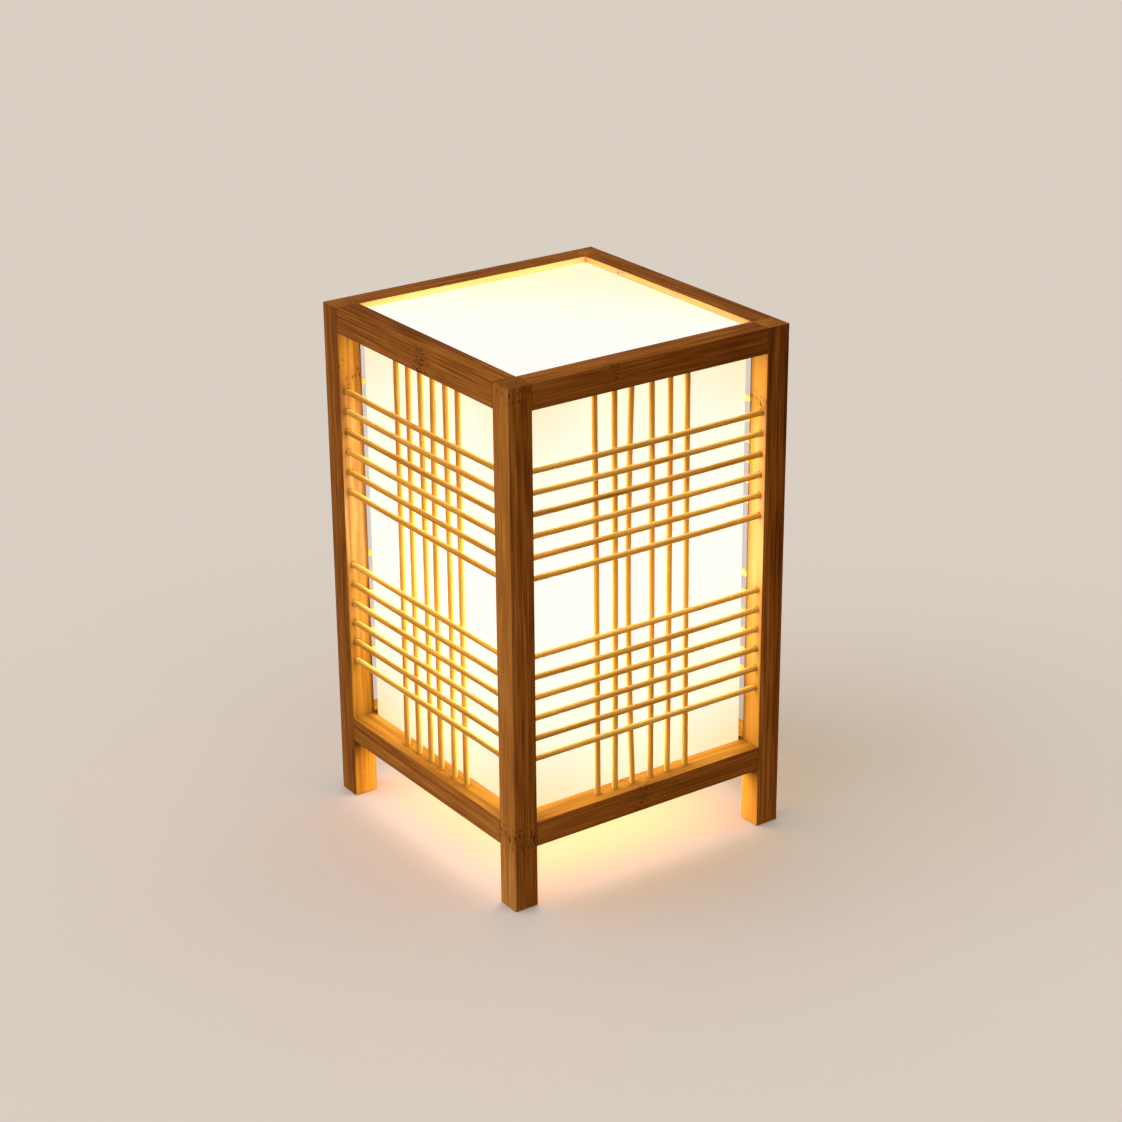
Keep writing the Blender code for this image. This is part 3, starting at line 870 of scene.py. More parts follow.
def combined(shape: Shape, other: Shape, operation: str) -> Shape:
    """Joins or cuts one closed shape with another.

    Args:
        shape: The first shape, which is freed.
        other: The second shape, which is freed.
        operation: UNION or DIFFERENCE.

    Returns:
        The result.
    """
    first, second = scratch_object(scratch_mesh(shape)), scratch_object(scratch_mesh(other))
    modifier = first.modifiers.new("combine", "BOOLEAN")
    modifier.operation = operation
    modifier.object = second
    result = bmesh.new()
    result.from_object(first, bpy.context.evaluated_depsgraph_get())
    remove_scratch(first, second)
    return result


def add_block(shape: Shape, low: Point, high: Point) -> list[bmesh.types.BMEdge]:
    """Adds a box to a shape.

    Args:
        shape: The shape.
        low: The box's lowest corner.
        high: The box's highest corner.

    Returns:
        The box's edges.
    """
    start, end = Vector(low), Vector(high)
    verts = bmesh.ops.create_cube(shape, size=1.0)["verts"]
    place = Matrix.Translation((start + end) / 2) @ Matrix.Diagonal((*(end - start), 1.0))
    bmesh.ops.transform(shape, matrix=place, verts=verts)
    return list(dict.fromkeys(edge for vert in verts for edge in vert.link_edges))


def eased_block(low: Point, high: Point, radius: float, steps: int = 3, along: Axis | None = None) -> Shape:
    """Makes a box with rounded arrises.

    Args:
        low: The lowest corner.
        high: The highest corner.
        radius: The radius of its arrises.
        steps: The steps of each arris.
        along: The axis whose arrises alone are rounded, or all of them.

    Returns:
        The shape.
    """
    shape = bmesh.new()
    edges = add_block(shape, low, high)
    if along is not None:
        edges = [e for e in edges if abs((e.verts[0].co - e.verts[1].co)[along.value]) > MM]
    bmesh.ops.bevel(shape, geom=edges, offset=radius, segments=steps, profile=0.5, affect="EDGES")
    return shape


def add_rod(shape: Shape, start: Point, end: Point, radius: float, steps: int = 20) -> None:
    """Adds a plain rod, to cut a hole with.

    Args:
        shape: The shape that gets it.
        start: The middle of one end.
        end: The middle of the other end.
        radius: The rod's radius.
        steps: The steps round it.
    """
    first, last = Vector(start), Vector(end)
    run = last - first
    place = Matrix.Translation((first + last) / 2) @ run.to_track_quat("Z", "Y").to_matrix().to_4x4()
    bmesh.ops.create_cone(
        shape, cap_ends=True, segments=steps, radius1=radius, radius2=radius, depth=run.length, matrix=place
    )


def turned(profile: Sequence[Pair], steps: int = 64) -> Shape:
    """Turns a profile about +Z.

    Args:
        profile: Radii and heights. It closes through the axis, or on itself where it doesn't reach the axis.
        steps: The steps of the turn.

    Returns:
        The closed shape, with its faces outwards.
    """
    shape = bmesh.new()
    ways = [(math.cos(math.tau * step / steps), math.sin(math.tau * step / steps)) for step in range(steps)]
    rings = []
    for radius, height in profile:
        spots = [(radius * x, radius * y, height) for x, y in ways] if radius > 0 else [(0.0, 0.0, height)]
        ring = [shape.verts.new(spot) for spot in spots]
        rings.append([ring[step % len(ring)] for step in range(steps + 1)])
    pairs = list(zip(rings, rings[1:]))
    if min(radius for radius, _ in profile) > 0:
        pairs.append((rings[-1], rings[0]))
    for first, second in pairs:
        for step in range(steps):
            corners = (first[step], first[step + 1], second[step + 1], second[step])
            shape.faces.new(tuple(dict.fromkeys(corners)))
    bmesh.ops.recalc_face_normals(shape, faces=shape.faces)
    return shape


def arc(centre: Pair, radius: float, start: float, end: float, steps: int) -> list[Pair]:
    """Lists the points of an arc of a profile.

    Args:
        centre: Its middle.
        radius: Its radius.
        start: Its first angle in degrees.
        end: Its last angle in degrees.
        steps: Its steps.

    Returns:
        The points.
    """
    angles = [math.radians(start + (end - start) * step / steps) for step in range(steps + 1)]
    return [(centre[0] + radius * math.cos(a), centre[1] + radius * math.sin(a)) for a in angles]


def finished_mesh(shape: Shape, flat_area: float = 0.0, smooth_angle: float = 40.0) -> Mesh:
    """Turns a shape to a mesh with its smooth shading set.

    Args:
        shape: The shape, which is freed.
        flat_area: Faces over this area stay flat.
        smooth_angle: Edges sharper than this, in degrees, stay sharp.

    Returns:
        The mesh.
    """
    bmesh.ops.remove_doubles(shape, verts=shape.verts, dist=1e-7)
    for face in shape.faces:
        face.smooth = not flat_area or face.calc_area() < flat_area
    mesh = scratch_mesh(shape)
    mesh.set_sharp_from_angle(angle=math.radians(smooth_angle))
    return mesh


@dataclass
class Frame:
    """Posts, rails and the bar across the bottom, in laminated bamboo."""

    stock: float = 14.5 * MM
    arris: float = 0.3 * MM
    gap: float = 0.3 * MM
    # Length, thickness and shoulder of a rail's tenon
    tenon: Point = (6.5 * MM, 5.0 * MM, 3.0 * MM)
    tenon_setback: float = 2.5 * MM
    # Length, half the width and half the thickness of the bar's tenon
    bar_tenon: Point = (5.0 * MM, 13.0 * MM, 2.0 * MM)
    grommet_hole: float = 6.3 * MM
    screw_hole: float = 1.9 * MM
    # Where each member's node mark lies along it in millimetres, and how strong it is at its two ends
    marks: dict[str, Point] = field(
        default_factory=lambda: {
            "post_front_left": (41.0, 1.0, 0.35),
            "post_front_right": (254.0, 0.0, 1.0),
            "post_back_right": (120.0, 0.8, 0.8),
            "post_back_left": (262.0, 0.0, 0.6),
            "top_rail_front": (-27.0, 0.22, 0.22),
            "top_rail_right": (40.0, 0.4, 0.4),
            "top_rail_back": (110.0, 0.0, 0.0),
            "top_rail_left": (-10.0, 1.3, 1.3),
            "bottom_rail_front": (-7.6, 0.6, 0.6),
            "bottom_rail_right": (110.0, 0.0, 0.0),
            "bottom_rail_back": (20.0, 0.8, 0.8),
            "bottom_rail_left": (110.0, 0.0, 0.0),
            "holder_bar": (45.0, 0.8, 0.8),
        }
    )
    unmarked: tuple[tuple[str, Face], ...] = (
        ("post_front_left", Face.TOP),
        ("post_front_right", Face.FRONT),
        ("post_back_left", Face.LEFT),
        ("top_rail_left", Face.TOP),
    )
    # A face may be darker or paler at its ends than its neighbours, partly from strips glued up as they came
    # and partly from painted light and shade: posts darker towards their tops, faces darker where less light
    # falls
    tones: dict[tuple[str, Face], Pair] = field(
        default_factory=lambda: {
            ("post_front_left", Face.FRONT): (0.15, -0.03),
            ("post_front_left", Face.LEFT): (0.09, -0.07),
            ("post_front_left", Face.TOP): (-0.18, -0.18),
            ("post_front_right", Face.FRONT): (0.18, -0.15),
            ("post_front_right", Face.LEFT): (-0.02, 0.0),
            ("post_back_left", Face.LEFT): (-0.17, -0.29),
            ("post_back_left", Face.FRONT): (0.0, -0.12),
            ("top_rail_front", Face.FRONT): (0.04, -0.22),
            ("top_rail_front", Face.TOP): (0.05, -0.06),
            ("top_rail_right", Face.TOP): (-0.06, -0.06),
            ("top_rail_right", Face.LEFT): (-0.2, -0.2),
            ("top_rail_back", Face.TOP): (-0.05, -0.03),
            ("top_rail_left", Face.LEFT): (-0.14, -0.23),
            ("top_rail_left", Face.TOP): (0.08, -0.15),
            ("bottom_rail_front", Face.FRONT): (0.06, -0.16),
            ("bottom_rail_front", Face.TOP): (-0.04, -0.08),
            ("bottom_rail_left", Face.LEFT): (-0.01, -0.16),
            ("bottom_rail_left", Face.TOP): (-0.07, -0.01),
        }
    )
    # The faces that look inwards get a quieter figure: painted light, for the glow that washes out their grain
    inner_contrast: float = 0.28
    # Painted shade: an inner arris against the glowing sheets gets a darker tone than the faces beside it
    arris_tone: float = -0.4
    # A face looks along an axis where that part of its normal is over this
    slope: float = 0.3

    @property
    def reach(self) -> float:
        """Half the length of a rail or the bar between its shoulders."""
        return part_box("post_front_right")[0].x - self.gap

    def build(self, lattice: "StickLattice") -> None:
        """Builds and dresses every member.

        Args:
            lattice: The sticks, for whose ends the members have holes.
        """
        finish = LaminatedBamboo().make()
        post = self._post(lattice)
        for corner, side in zip(("front_left", "front_right", "back_right", "back_left"), Side):
            self._member(f"post_{corner}", post.copy(), side.turn, Axis.Z, finish)
        post.free()
        for side in Side:
            for level in ("top", "bottom"):
                shape = self._rail(level, side, lattice)
                self._member(f"{level}_rail_{side.label}", shape, side.turn, side.rail_axis, finish)
        self._member("holder_bar", self._bar(), Matrix.Identity(4), Axis.X, finish)

    def _member(self, node: str, shape: Shape, turn: Matrix, axis: Axis, finish: Material) -> None:
        """Turns a shape to its side and makes it the piece for a node.

        Args:
            node: The node's name.
            shape: The shape, on the front.
            turn: The turn to its side.
            axis: The axis of its fibres.
            finish: Its material.
        """
        bmesh.ops.transform(shape, matrix=turn, verts=shape.verts)
        mesh = finished_mesh(shape, FLAT_AREA)
        low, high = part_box(node)
        middle = (low + high) / 2
        start = self.marks[node][0] * MM
        first, second = [i for i in range(3) if i != axis.value]
        # Any spread of seeds does, as long as no two members share one
        seed = 3.0 + 7.31 * list(self.marks).index(node)
        grain = mesh.attributes.new("grain", "FLOAT_VECTOR", "POINT")
        member = mesh.attributes.new("member", "FLOAT_VECTOR", "POINT")
        for vert in mesh.vertices:
            place = vert.co
            spot = (place[axis.value] - start, place[first] - middle[first], place[second] - middle[second])
            grain.data[vert.index].vector = [value / MM for value in spot]
            member.data[vert.index].vector = (seed, 0.0, 0.0)
        self._set_look(mesh, node, axis)
        name = "bamboo_bar" if node == "holder_bar" else f"bamboo_{node}"
        dress(node, name, mesh, finish, "lamp")

    def _set_look(self, mesh: Mesh, node: str, axis: Axis) -> None:
        """Writes the attribute look: tone, contrast and strength of node marks at each corner of each face.

        Args:
            mesh: The member's mesh.
            node: The node that it stands for.
            axis: The axis of its fibres.
        """
        low, high = (corner[axis.value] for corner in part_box(node))
        outer_low, outer_high = cad_box
        look = mesh.attributes.new("look", "FLOAT_VECTOR", "CORNER")
        for polygon in mesh.polygons:
            face = Face.of(polygon.normal)
            ways = [(number, part) for number, part in enumerate(polygon.normal) if abs(part) > self.slope]
            limits = [outer_high[number] if part > 0 else outer_low[number] for number, part in ways]
            places = [polygon.center[number] for number, _ in ways]
            outside = all(abs(place - limit) < MM for place, limit in zip(places, limits))
            # Painted light: inner faces get the quieter figure of grain washed out by the glow
            contrast = 1.0 if outside else self.inner_contrast
            # The face's tone at its ends, partly painted light and shade
            first_tone, last_tone = self.tones.get((node, face), (0.0, 0.0))
            # Painted shade: inner arrises get the darker tone
            if len(ways) > 1 and not outside:
                first_tone = last_tone = self.arris_tone
            first_mark, last_mark = (0.0, 0.0) if (node, face) in self.unmarked else self.marks[node][1:]
            for corner in polygon.loop_indices:
                place = mesh.vertices[mesh.loops[corner].vertex_index].co[axis.value]
                share = (place - low) / (high - low)
                tone = first_tone + (last_tone - first_tone) * share
                mark = first_mark + (last_mark - first_mark) * share
                look.data[corner].vector = (tone, contrast, mark)

    def _post(self, lattice: "StickLattice") -> Shape:
        """Makes the front left post, with its mortises and the holes of the level sticks.

        Args:
            lattice: The sticks.

        Returns:
            The shape.
        """
        low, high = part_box("post_front_left")
        shape = eased_block(low, high, self.arris)
        cuts = bmesh.new()
        length, thickness, shoulder = self.tenon
        inner, clear = high.x, high.x + self.stock
        near = low.y + self.tenon_setback - self.gap
        far = near + thickness + 2 * self.gap
        depth = inner - length - self.gap
        for level in ("top", "bottom"):
            rail_low, rail_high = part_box(f"{level}_rail_front")
            bottom = rail_low.z + shoulder - self.gap
            top = rail_high.z - shoulder + self.gap
            add_block(cuts, (depth, near, bottom), (clear, far, top))
            add_block(cuts, (near, depth, bottom), (far, clear, top))
        radius = lattice.diameter / 2 + self.gap
        deep = inner - lattice.seat - self.gap
        axis = low.y + lattice.level_setback
        for height in lattice.level_heights:
            add_rod(cuts, (deep, axis, height), (clear, axis, height), radius)
            add_rod(cuts, (axis, deep, height), (axis, clear, height), radius)
        return combined(shape, cuts, "DIFFERENCE")

    def _rail(self, level: str, side: Side, lattice: "StickLattice") -> Shape:
        """Makes a rail as on the front, with its tenons and the holes of the upright sticks.

        Args:
            level: top or bottom.
            side: The side that it is for.
            lattice: The sticks.

        Returns:
            The shape.
        """
        low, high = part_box(f"{level}_rail_front")
        length, thickness, shoulder = self.tenon
        near = low.y + self.tenon_setback
        tenon_low = (self.reach - thickness, near, low.z + shoulder)
        tenon_high = (self.reach + length, near + thickness, high.z - shoulder)
        shape = self._tenoned(low, high, tenon_low, tenon_high)
        cuts = bmesh.new()
        radius = lattice.diameter / 2 + self.gap
        depth = low.y + lattice.upright_setback
        for foot, head in lattice.upright_ends(side):
            if level == "top":
                across, start, end = head, low.z - self.stock, low.z + lattice.seat + self.gap
            else:
                across, start, end = foot, high.z - lattice.seat - self.gap, high.z + self.stock
            add_rod(cuts, (across, depth, start), (across, depth, end), radius)
        if level == "bottom" and side.rail_axis is Axis.Y:
            bar_low, bar_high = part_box("holder_bar")
            middle = (bar_low.z + bar_high.z) / 2
            deep, half, thin = (size + self.gap for size in self.bar_tenon)
            add_block(cuts, (-half, high.y - deep, middle - thin), (half, high.y + self.stock, middle + thin))
        return combined(shape, cuts, "DIFFERENCE")

    def _bar(self) -> Shape:
        """Makes the bar with its tenons, the grommet's hole and the screw holes.

        Returns:
            The shape.
        """
        low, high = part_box("holder_bar")
        middle = (low.z + high.z) / 2
        _, half, thin = self.bar_tenon
        tenon_low = (self.reach - self.stock / 2, -half, middle - thin)
        shape = self._tenoned(low, high, tenon_low, (high.x, half, middle + thin))
        cuts = bmesh.new()
        above = high.z + self.stock
        add_rod(cuts, (0, 0, low.z - self.stock), (0, 0, above), self.grommet_hole, 48)
        for screw in ("holder_screw_left", "holder_screw_right"):
            screw_low, screw_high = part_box(screw)
            place = (screw_low.x + screw_high.x) / 2
            add_rod(cuts, (place, 0, screw_low.z - self.gap), (place, 0, above), self.screw_hole)
        return combined(shape, cuts, "DIFFERENCE")

    def _tenoned(self, low: Vector, high: Vector, tenon_low: Point, tenon_high: Point) -> Shape:
        """Makes a bar along X with a tenon at each end.

        Args:
            low: The lowest corner of its node's box.
            high: The highest corner of its node's box.
            tenon_low: The lowest corner of the right tenon.
            tenon_high: The highest corner of the right tenon.

        Returns:
            The shape.
        """
        left, right = (-self.reach, low.y, low.z), (self.reach, high.y, high.z)
        shape = eased_block(left, right, self.arris, along=Axis.X)
        tenons = bmesh.new()
        for end in (-1, 1):
            first, last = sorted((end * tenon_low[0], end * tenon_high[0]))
            add_block(tenons, (first, *tenon_low[1:]), (last, *tenon_high[1:]))
        return combined(shape, tenons, "UNION")


@dataclass
class StickLattice:
    """The round sticks of the four sides: level ones in front, upright ones behind them."""

    diameter: float = 3.4 * MM
    seat: float = 5.0 * MM
    level_setback: float = 4.7 * MM
    upright_setback: float = 7.9 * MM
    pitch: float = 12.0 * MM
    first_above: float = 251.0 * MM
    first_below: float = 86.5 * MM
    band: int = 6
    points: int = 40
    sides: int = 16
    # How far a stick's thickness wanders, as a share of it, and how far its middle sways, with their scales
    wander: float = 0.04
    wander_scale: float = 55.0
    sway: float = 0.12 * MM
    sway_scale: float = 22.0
    # Shares of the painted glow, for light soaking through, on the level and the upright sticks
    level_soak: float = 0.45
    upright_soak: float = 1.0
    tone_swing: float = 0.08
    # How far each upright stick stands off its even place at foot and head, and its bow, in millimetres
    front_leans: tuple[Point, ...] = (
        (-0.6, -2.4, 0.3),
        (-0.9, -1.6, 0.4),
        (-0.8, -2.2, -2.8),
        (-0.7, -1.3, 0.6),
        (-0.9, -1.0, 0.25),
        (-0.3, -1.6, -0.2),
    )
    side_leans: tuple[Point, ...] = (
        (0.7, 1.2, 0.45),
        (1.4, 1.3, -0.2),
        (1.8, 1.2, 0.9),
        (0.6, 1.8, -0.7),
        (2.0, 1.8, 0.65),
        (2.0, 1.8, -0.25),
    )
    # How far each level stick hangs at mid-span in millimetres, from the upper band's first down and then
    # from the lower band's first up
    sags: tuple[float, ...] = (-0.75, -0.65, -0.5, -0.5, -0.45, -0.45, 0.0, -0.35, -0.2, -0.3, -0.7, -0.2)

    @property
    def level_heights(self) -> list[float]:
        """Heights of the level sticks, from the upper band's first down and the lower band's first up."""
        upper = [self.first_above - step * self.pitch for step in range(self.band)]
        return upper + [self.first_below + step * self.pitch for step in range(self.band)]

    def leans(self, side: Side) -> tuple[Point, ...]:
        """The leans of a side's upright sticks."""
        return self.front_leans if side.rail_axis is Axis.X else self.side_leans

    def upright_ends(self, side: Side) -> list[Pair]:
        """Places of the feet and heads of a side's upright sticks, from its middle.

        Args:
            side: The side.

        Returns:
            Foot and head of each stick.
        """
        ends = []
        for index, (foot, head, _) in enumerate(self.leans(side)):
            even = (index - (self.band - 1) / 2) * self.pitch
            ends.append((even + foot * MM, even + head * MM))
        return ends

    def build(self) -> None:
        """Builds and dresses the lattice of each side."""
        finish = BambooStick().make()
        tree = self._tree()
        for number, side in enumerate(Side):
            values = {
                "Diameter": self.diameter,
                "Sides": self.sides,
                "Wander": self.wander,
                "Sway": self.sway,
                "Seed": 5.0 + 11.0 * number,
                "Material": finish,
            }
            mesh = grown_mesh(self._paths(side), tree, values)
            dress(f"lattice_{side.label}", f"sticks_{side.label}", mesh, finish, "lamp")

    def _paths(self, side: Side) -> Mesh:
        """Draws the centre lines of a side's sticks.

        Args:
            side: The side.

        Returns:
            A mesh of edges, with each stick's seed, share of painted glow and tone in the attribute member.
        """
        low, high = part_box("lattice_front")
        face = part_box("post_front_left")[0].y
        lines = []
        for height, sag in zip(self.level_heights, self.sags):
            start, end = (Vector((x, face + self.level_setback, height)) for x in (low.x, high.x))
            lines.append((start, end, Vector((0, 0, sag * MM)), self.level_soak))
        for (foot, head), (_, _, bow) in zip(self.upright_ends(side), self.leans(side)):
            start = Vector((foot, face + self.upright_setback, low.z))
            end = Vector((head, face + self.upright_setback, high.z))
            lines.append((start, end, Vector((bow * MM, 0, 0)), self.upright_soak))
        verts, edges, members = [], [], []
        for number, (start, end, bow, soak) in enumerate(lines):
            first = len(verts)
            # Any spread of tones and seeds does, as long as neighbours differ
            tone = self.tone_swing * math.sin(2.4 * number + 1.7 * side.value[1])
            seed = 3.7 * number + 0.13 * side.value[1]
            for step in range(self.points + 1):
                share = step / self.points
                verts.append(side.turn @ (start.lerp(end, share) + bow * math.sin(math.pi * share)))
                members.append((seed, soak, tone))
            edges += [(first + step, first + step + 1) for step in range(self.points)]
        mesh = bpy.data.meshes.new("paths")
        mesh.from_pydata(verts, edges, [])
        member = mesh.attributes.new("member", "FLOAT_VECTOR", "POINT")
        for index, values in enumerate(members):
            member.data[index].vector = values
        return mesh

    def _tree(self) -> bpy.types.NodeTree:
        """Builds the tree that sweeps a round section along each path.

        Returns:
            The tree.
        """
        sizes = {"Diameter": "Float", "Sides": "Int", "Wander": "Float", "Sway": "Float", "Seed": "Float"}
        graph, given = Graph.group("round_sticks", sizes)
        curves = graph.add("GeometryNodeMeshToCurve", {"Mesh": given["Geometry"]})
        place = graph.add("GeometryNodeInputPosition")
        sway = graph.seeded_noise(place, given["Seed"], 1.0, self.sway_scale).outputs["Color"]
        sway = graph.scaled(graph.vectors("SUBTRACT", sway, NOISE_MIDDLE), given["Sway"])
        moved = graph.add("GeometryNodeSetPosition", {"Geometry": curves, "Offset": sway})
        swell = graph.seeded_noise(place, given["Seed"], 2.0, self.wander_scale)
        swell = graph.maths("MULTIPLY_ADD", swell, 2.0, -1.0)
        swell = graph.maths("MULTIPLY_ADD", swell, given["Wander"], 1.0)
        kept = graph.add("GeometryNodeCaptureAttribute", {"Geometry": moved}, domain="POINT")
        kept.capture_items.new("FLOAT", "Along")
        graph.feed(kept, {"Along": graph.add("GeometryNodeSplineParameter").outputs["Length"]})
        radius = graph.maths("MULTIPLY", given["Diameter"], 0.5)
        ring = graph.add("GeometryNodeCurvePrimitiveCircle", {"Resolution": given["Sides"], "Radius": radius})
        ringed = graph.add("GeometryNodeCaptureAttribute", {"Geometry": ring}, domain="POINT")
        ringed.capture_items.new("VECTOR", "Section")
        graph.feed(ringed, {"Section": graph.add("GeometryNodeInputPosition")})
        thick = graph.add("GeometryNodeSetCurveRadius", {"Curve": kept, "Radius": swell})
        sweep = {"Curve": thick, "Profile Curve": ringed, "Fill Caps": True}
        swept = graph.add("GeometryNodeCurveToMesh", sweep)
        x, y, _ = graph.split(ringed.outputs["Section"])
        spot = graph.add("ShaderNodeCombineXYZ", {0: kept.outputs["Along"], 1: x, 2: y})
        stored = graph.add(
            "GeometryNodeStoreNamedAttribute",
            {"Geometry": swept, "Name": "grain", "Value": graph.scaled(spot, 1 / MM)},
            data_type="FLOAT_VECTOR",
            domain="POINT",
        )
        smooth = graph.add("GeometryNodeSetShadeSmooth", {"Geometry": stored})
        return graph.end_group(smooth, given["Material"])


@dataclass
class OpalShade:
    """The four side sheets and the loose sheet that drops in on top of them."""

    edge: float = 0.3 * MM
    edge_steps: int = 2
    side_strength: float = 0.93
    top_strength: float = 0.90

    def build(self) -> None:
        """Builds and dresses the sheets."""
        upright = OpalSheet("opal_acrylic_sides", Spread.UPRIGHT, self.side_strength).make()
        level = OpalSheet("opal_acrylic_top", Spread.LEVEL, self.top_strength).make()
        sheets = [(f"shade_{side.label}", side.label, upright, "lamp") for side in Side]
        for node, label, material, body in (*sheets, ("top_panel", "top", level, "top")):
            shape = eased_block(*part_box(node), self.edge, self.edge_steps)
            mesh = finished_mesh(shape, FLAT_AREA)
            dress(node, f"opal_sheet_{label}", mesh, material, body)


@dataclass
class Fitting:
    """The lamp holder on its bar and the bulb in it."""

    gap: float = 0.3 * MM
    round: float = 0.8 * MM
    cord_bore: float = 3.8 * MM
    grommet_sleeve: float = 6.0 * MM
    # Half the width of the holder's flange, and its thickness
    flange: Pair = (6.5 * MM, 4.5 * MM)
    screw_hole: float = 1.9 * MM
    shank: float = 1.6 * MM
    # Height of a screw's head above the holder's foot, and half the width and the depth of its slot
    head_seat: float = 4.8 * MM
    slot: Pair = (0.4 * MM, 0.9 * MM)
    wall: float = 0.6 * MM
    wall_steps: int = 48
    shell_lap: float = 10.1 * MM
    thread_pitch: float = 3.6 * MM
    thread_depth: float = 0.35 * MM
    # How far the thread stays off a wall's lower and upper ends, and over what height it fades there
    thread_ends: Pair = (2.0 * MM, 3.5 * MM)
    thread_ease: float = 1.2 * MM
    neck: float = 13.8 * MM
    rim_round: float = 1.0 * MM
    flare_steps: int = 24
    bulb_steps: int = 80
    globe_wall: float = 1.2 * MM
    lathe_angle: float = 35.0
    thread_angle: float = 50.0

    def build(self) -> None:
        """Builds and dresses the holder and the bulb."""
        porcelain, brass, steel = PORCELAIN.make(), BRASS.make(), STEEL.make()
        nylon, white, aluminium, opal = NYLON.make(), BULB_WHITE.make(), ALUMINIUM.make(), BULB_OPAL.make()
        for node, material in (
            ("holder_contact", brass),
            ("bulb_tip", brass),
            ("bulb_insulator", nylon),
            ("bulb_board", aluminium),
        ):
            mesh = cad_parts[node].data
            mesh.materials.clear()
            mesh.materials.append(material)
            log.info("%s keeps its solid", node)
        tree = self._thread_tree()
        dress("holder_body", "porcelain_holder", self._lathed(self._body()), porcelain, "lamp")
        dress("cord_grommet", "grommet", self._lathed(self._grommet()), nylon, "lamp")
        shell = self._threaded("holder_shell", self._shell(), brass, tree)
        dress("holder_shell", "screw_shell", shell, brass, "lamp")
        cap = self._threaded("bulb_cap", self._cap(), aluminium, tree)
        dress("bulb_cap", "screw_cap", cap, aluminium, "bulb")
        dress("bulb_housing", "bulb_body", self._lathed(self._housing()), white, "bulb")
        dress("bulb_globe", "globe", self._lathed(self._globe()), opal, "bulb")
        for side in ("left", "right"):
            node = f"holder_screw_{side}"
            dress(node, f"slotted_screw_{side}", self._lathed(self._screw(node)), steel, "lamp")

    def _lathed(self, shape: Shape) -> Mesh:
        """Turns a turned shape to a mesh."""
        return finished_mesh(shape, smooth_angle=self.lathe_angle)

    def _threaded(self, node: str, shape: Shape, material: Material, tree: bpy.types.NodeTree) -> Mesh:
        """Rolls a thread into a turned shape.

        Args:
            node: The node that it stands for.
            shape: The shape, which is freed.
            material: Its material.
            tree: The tree that rolls the thread.

        Returns:
            The mesh.
        """
        low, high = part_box(node)
        off_foot, off_mouth = self.thread_ends
        values = {
            "Pitch": self.thread_pitch,
            "Depth": self.thread_depth,
            "Low": low.z + off_foot,
            "High": high.z - off_mouth,
            "Material": material,
        }
        mesh = grown_mesh(scratch_mesh(shape), tree, values)
        mesh.shade_smooth()
        mesh.set_sharp_from_angle(angle=math.radians(self.thread_angle))
        return mesh

    def _thread_tree(self) -> bpy.types.NodeTree:
        """Builds the tree that presses a round thread into a wall about +Z.

        Returns:
            The tree.
        """
        sizes = dict.fromkeys(("Pitch", "Depth", "Low", "High"), "Float")
        graph, given = Graph.group("rolled_thread", sizes)
        x, y, z = graph.split(graph.add("GeometryNodeInputPosition"))
        angle = graph.maths("ARCTAN2", y, x)
        phase = graph.maths("MULTIPLY", graph.maths("DIVIDE", z, given["Pitch"]), math.tau)
        wave = graph.maths("COSINE", graph.maths("SUBTRACT", phase, angle))
        wave = graph.maths("MULTIPLY_ADD", wave, 0.5, -0.5)
        start = graph.maths("ADD", given["Low"], self.thread_ease)
        end = graph.maths("ADD", given["High"], -self.thread_ease)
        grown = graph.ranged(z, (given["Low"], start))
        faded = graph.ranged(z, (given["High"], end))
        press = graph.maths("MULTIPLY", wave, graph.maths("MULTIPLY", grown, faded))
        press = graph.maths("MULTIPLY", press, given["Depth"])
        out = graph.vectors("NORMALIZE", graph.add("ShaderNodeCombineXYZ", {0: x, 1: y}))
        push = graph.scaled(out, press)
        moved = graph.add("GeometryNodeSetPosition", {"Geometry": given["Geometry"], "Offset": push})
        return graph.end_group(moved, given["Material"])

    def _body(self) -> Shape:
        """Makes the porcelain cup on its flange, with the cord's way in and two screw holes.

        Returns:
            The shape.
        """
        low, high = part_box("holder_body")
        shell_low, shell_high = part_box("holder_shell")
        floor = shell_low.z - self.gap
        outer, bore = high.y, shell_high.y + self.gap
        cup = turned(
            [(0.0, low.z), (outer, low.z)]
            + arc((outer - self.round, high.z - self.round), self.round, 0, 90, 5)
            + arc((bore + self.round / 2, high.z - self.round / 2), self.round / 2, 90, 180, 4)
            + [(bore, floor), (0.0, floor)]
        )
        half, rise = self.flange
        reach = high.x - half
        outline = arc((-reach, 0.0), half, 90, 270, 16) + arc((reach, 0.0), half, -90, 90, 16)
        plate = bmesh.new()
        base = plate.faces.new([plate.verts.new((x, y, low.z)) for x, y in outline])
        grown = bmesh.ops.extrude_face_region(plate, geom=[base])["geom"]
        raised = [item for item in grown if isinstance(item, bmesh.types.BMVert)]
        bmesh.ops.translate(plate, vec=(0, 0, rise), verts=raised)
        bmesh.ops.recalc_face_normals(plate, faces=plate.faces)
        rim = [edge for edge in plate.edges if all(vert.co.z > low.z + rise / 2 for vert in edge.verts)]
        bmesh.ops.bevel(plate, geom=rim, offset=self.round, segments=4, profile=0.5, affect="EDGES")
        cuts = bmesh.new()
        below = low.z - rise
        add_rod(cuts, (0, 0, below), (0, 0, floor + rise), self.cord_bore, 64)
        for screw in ("holder_screw_left", "holder_screw_right"):
            screw_low, screw_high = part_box(screw)
            place = (screw_low.x + screw_high.x) / 2
            add_rod(cuts, (place, 0, below), (place, 0, low.z + 2 * rise), self.screw_hole)
        return combined(combined(cup, plate, "UNION"), cuts, "DIFFERENCE")

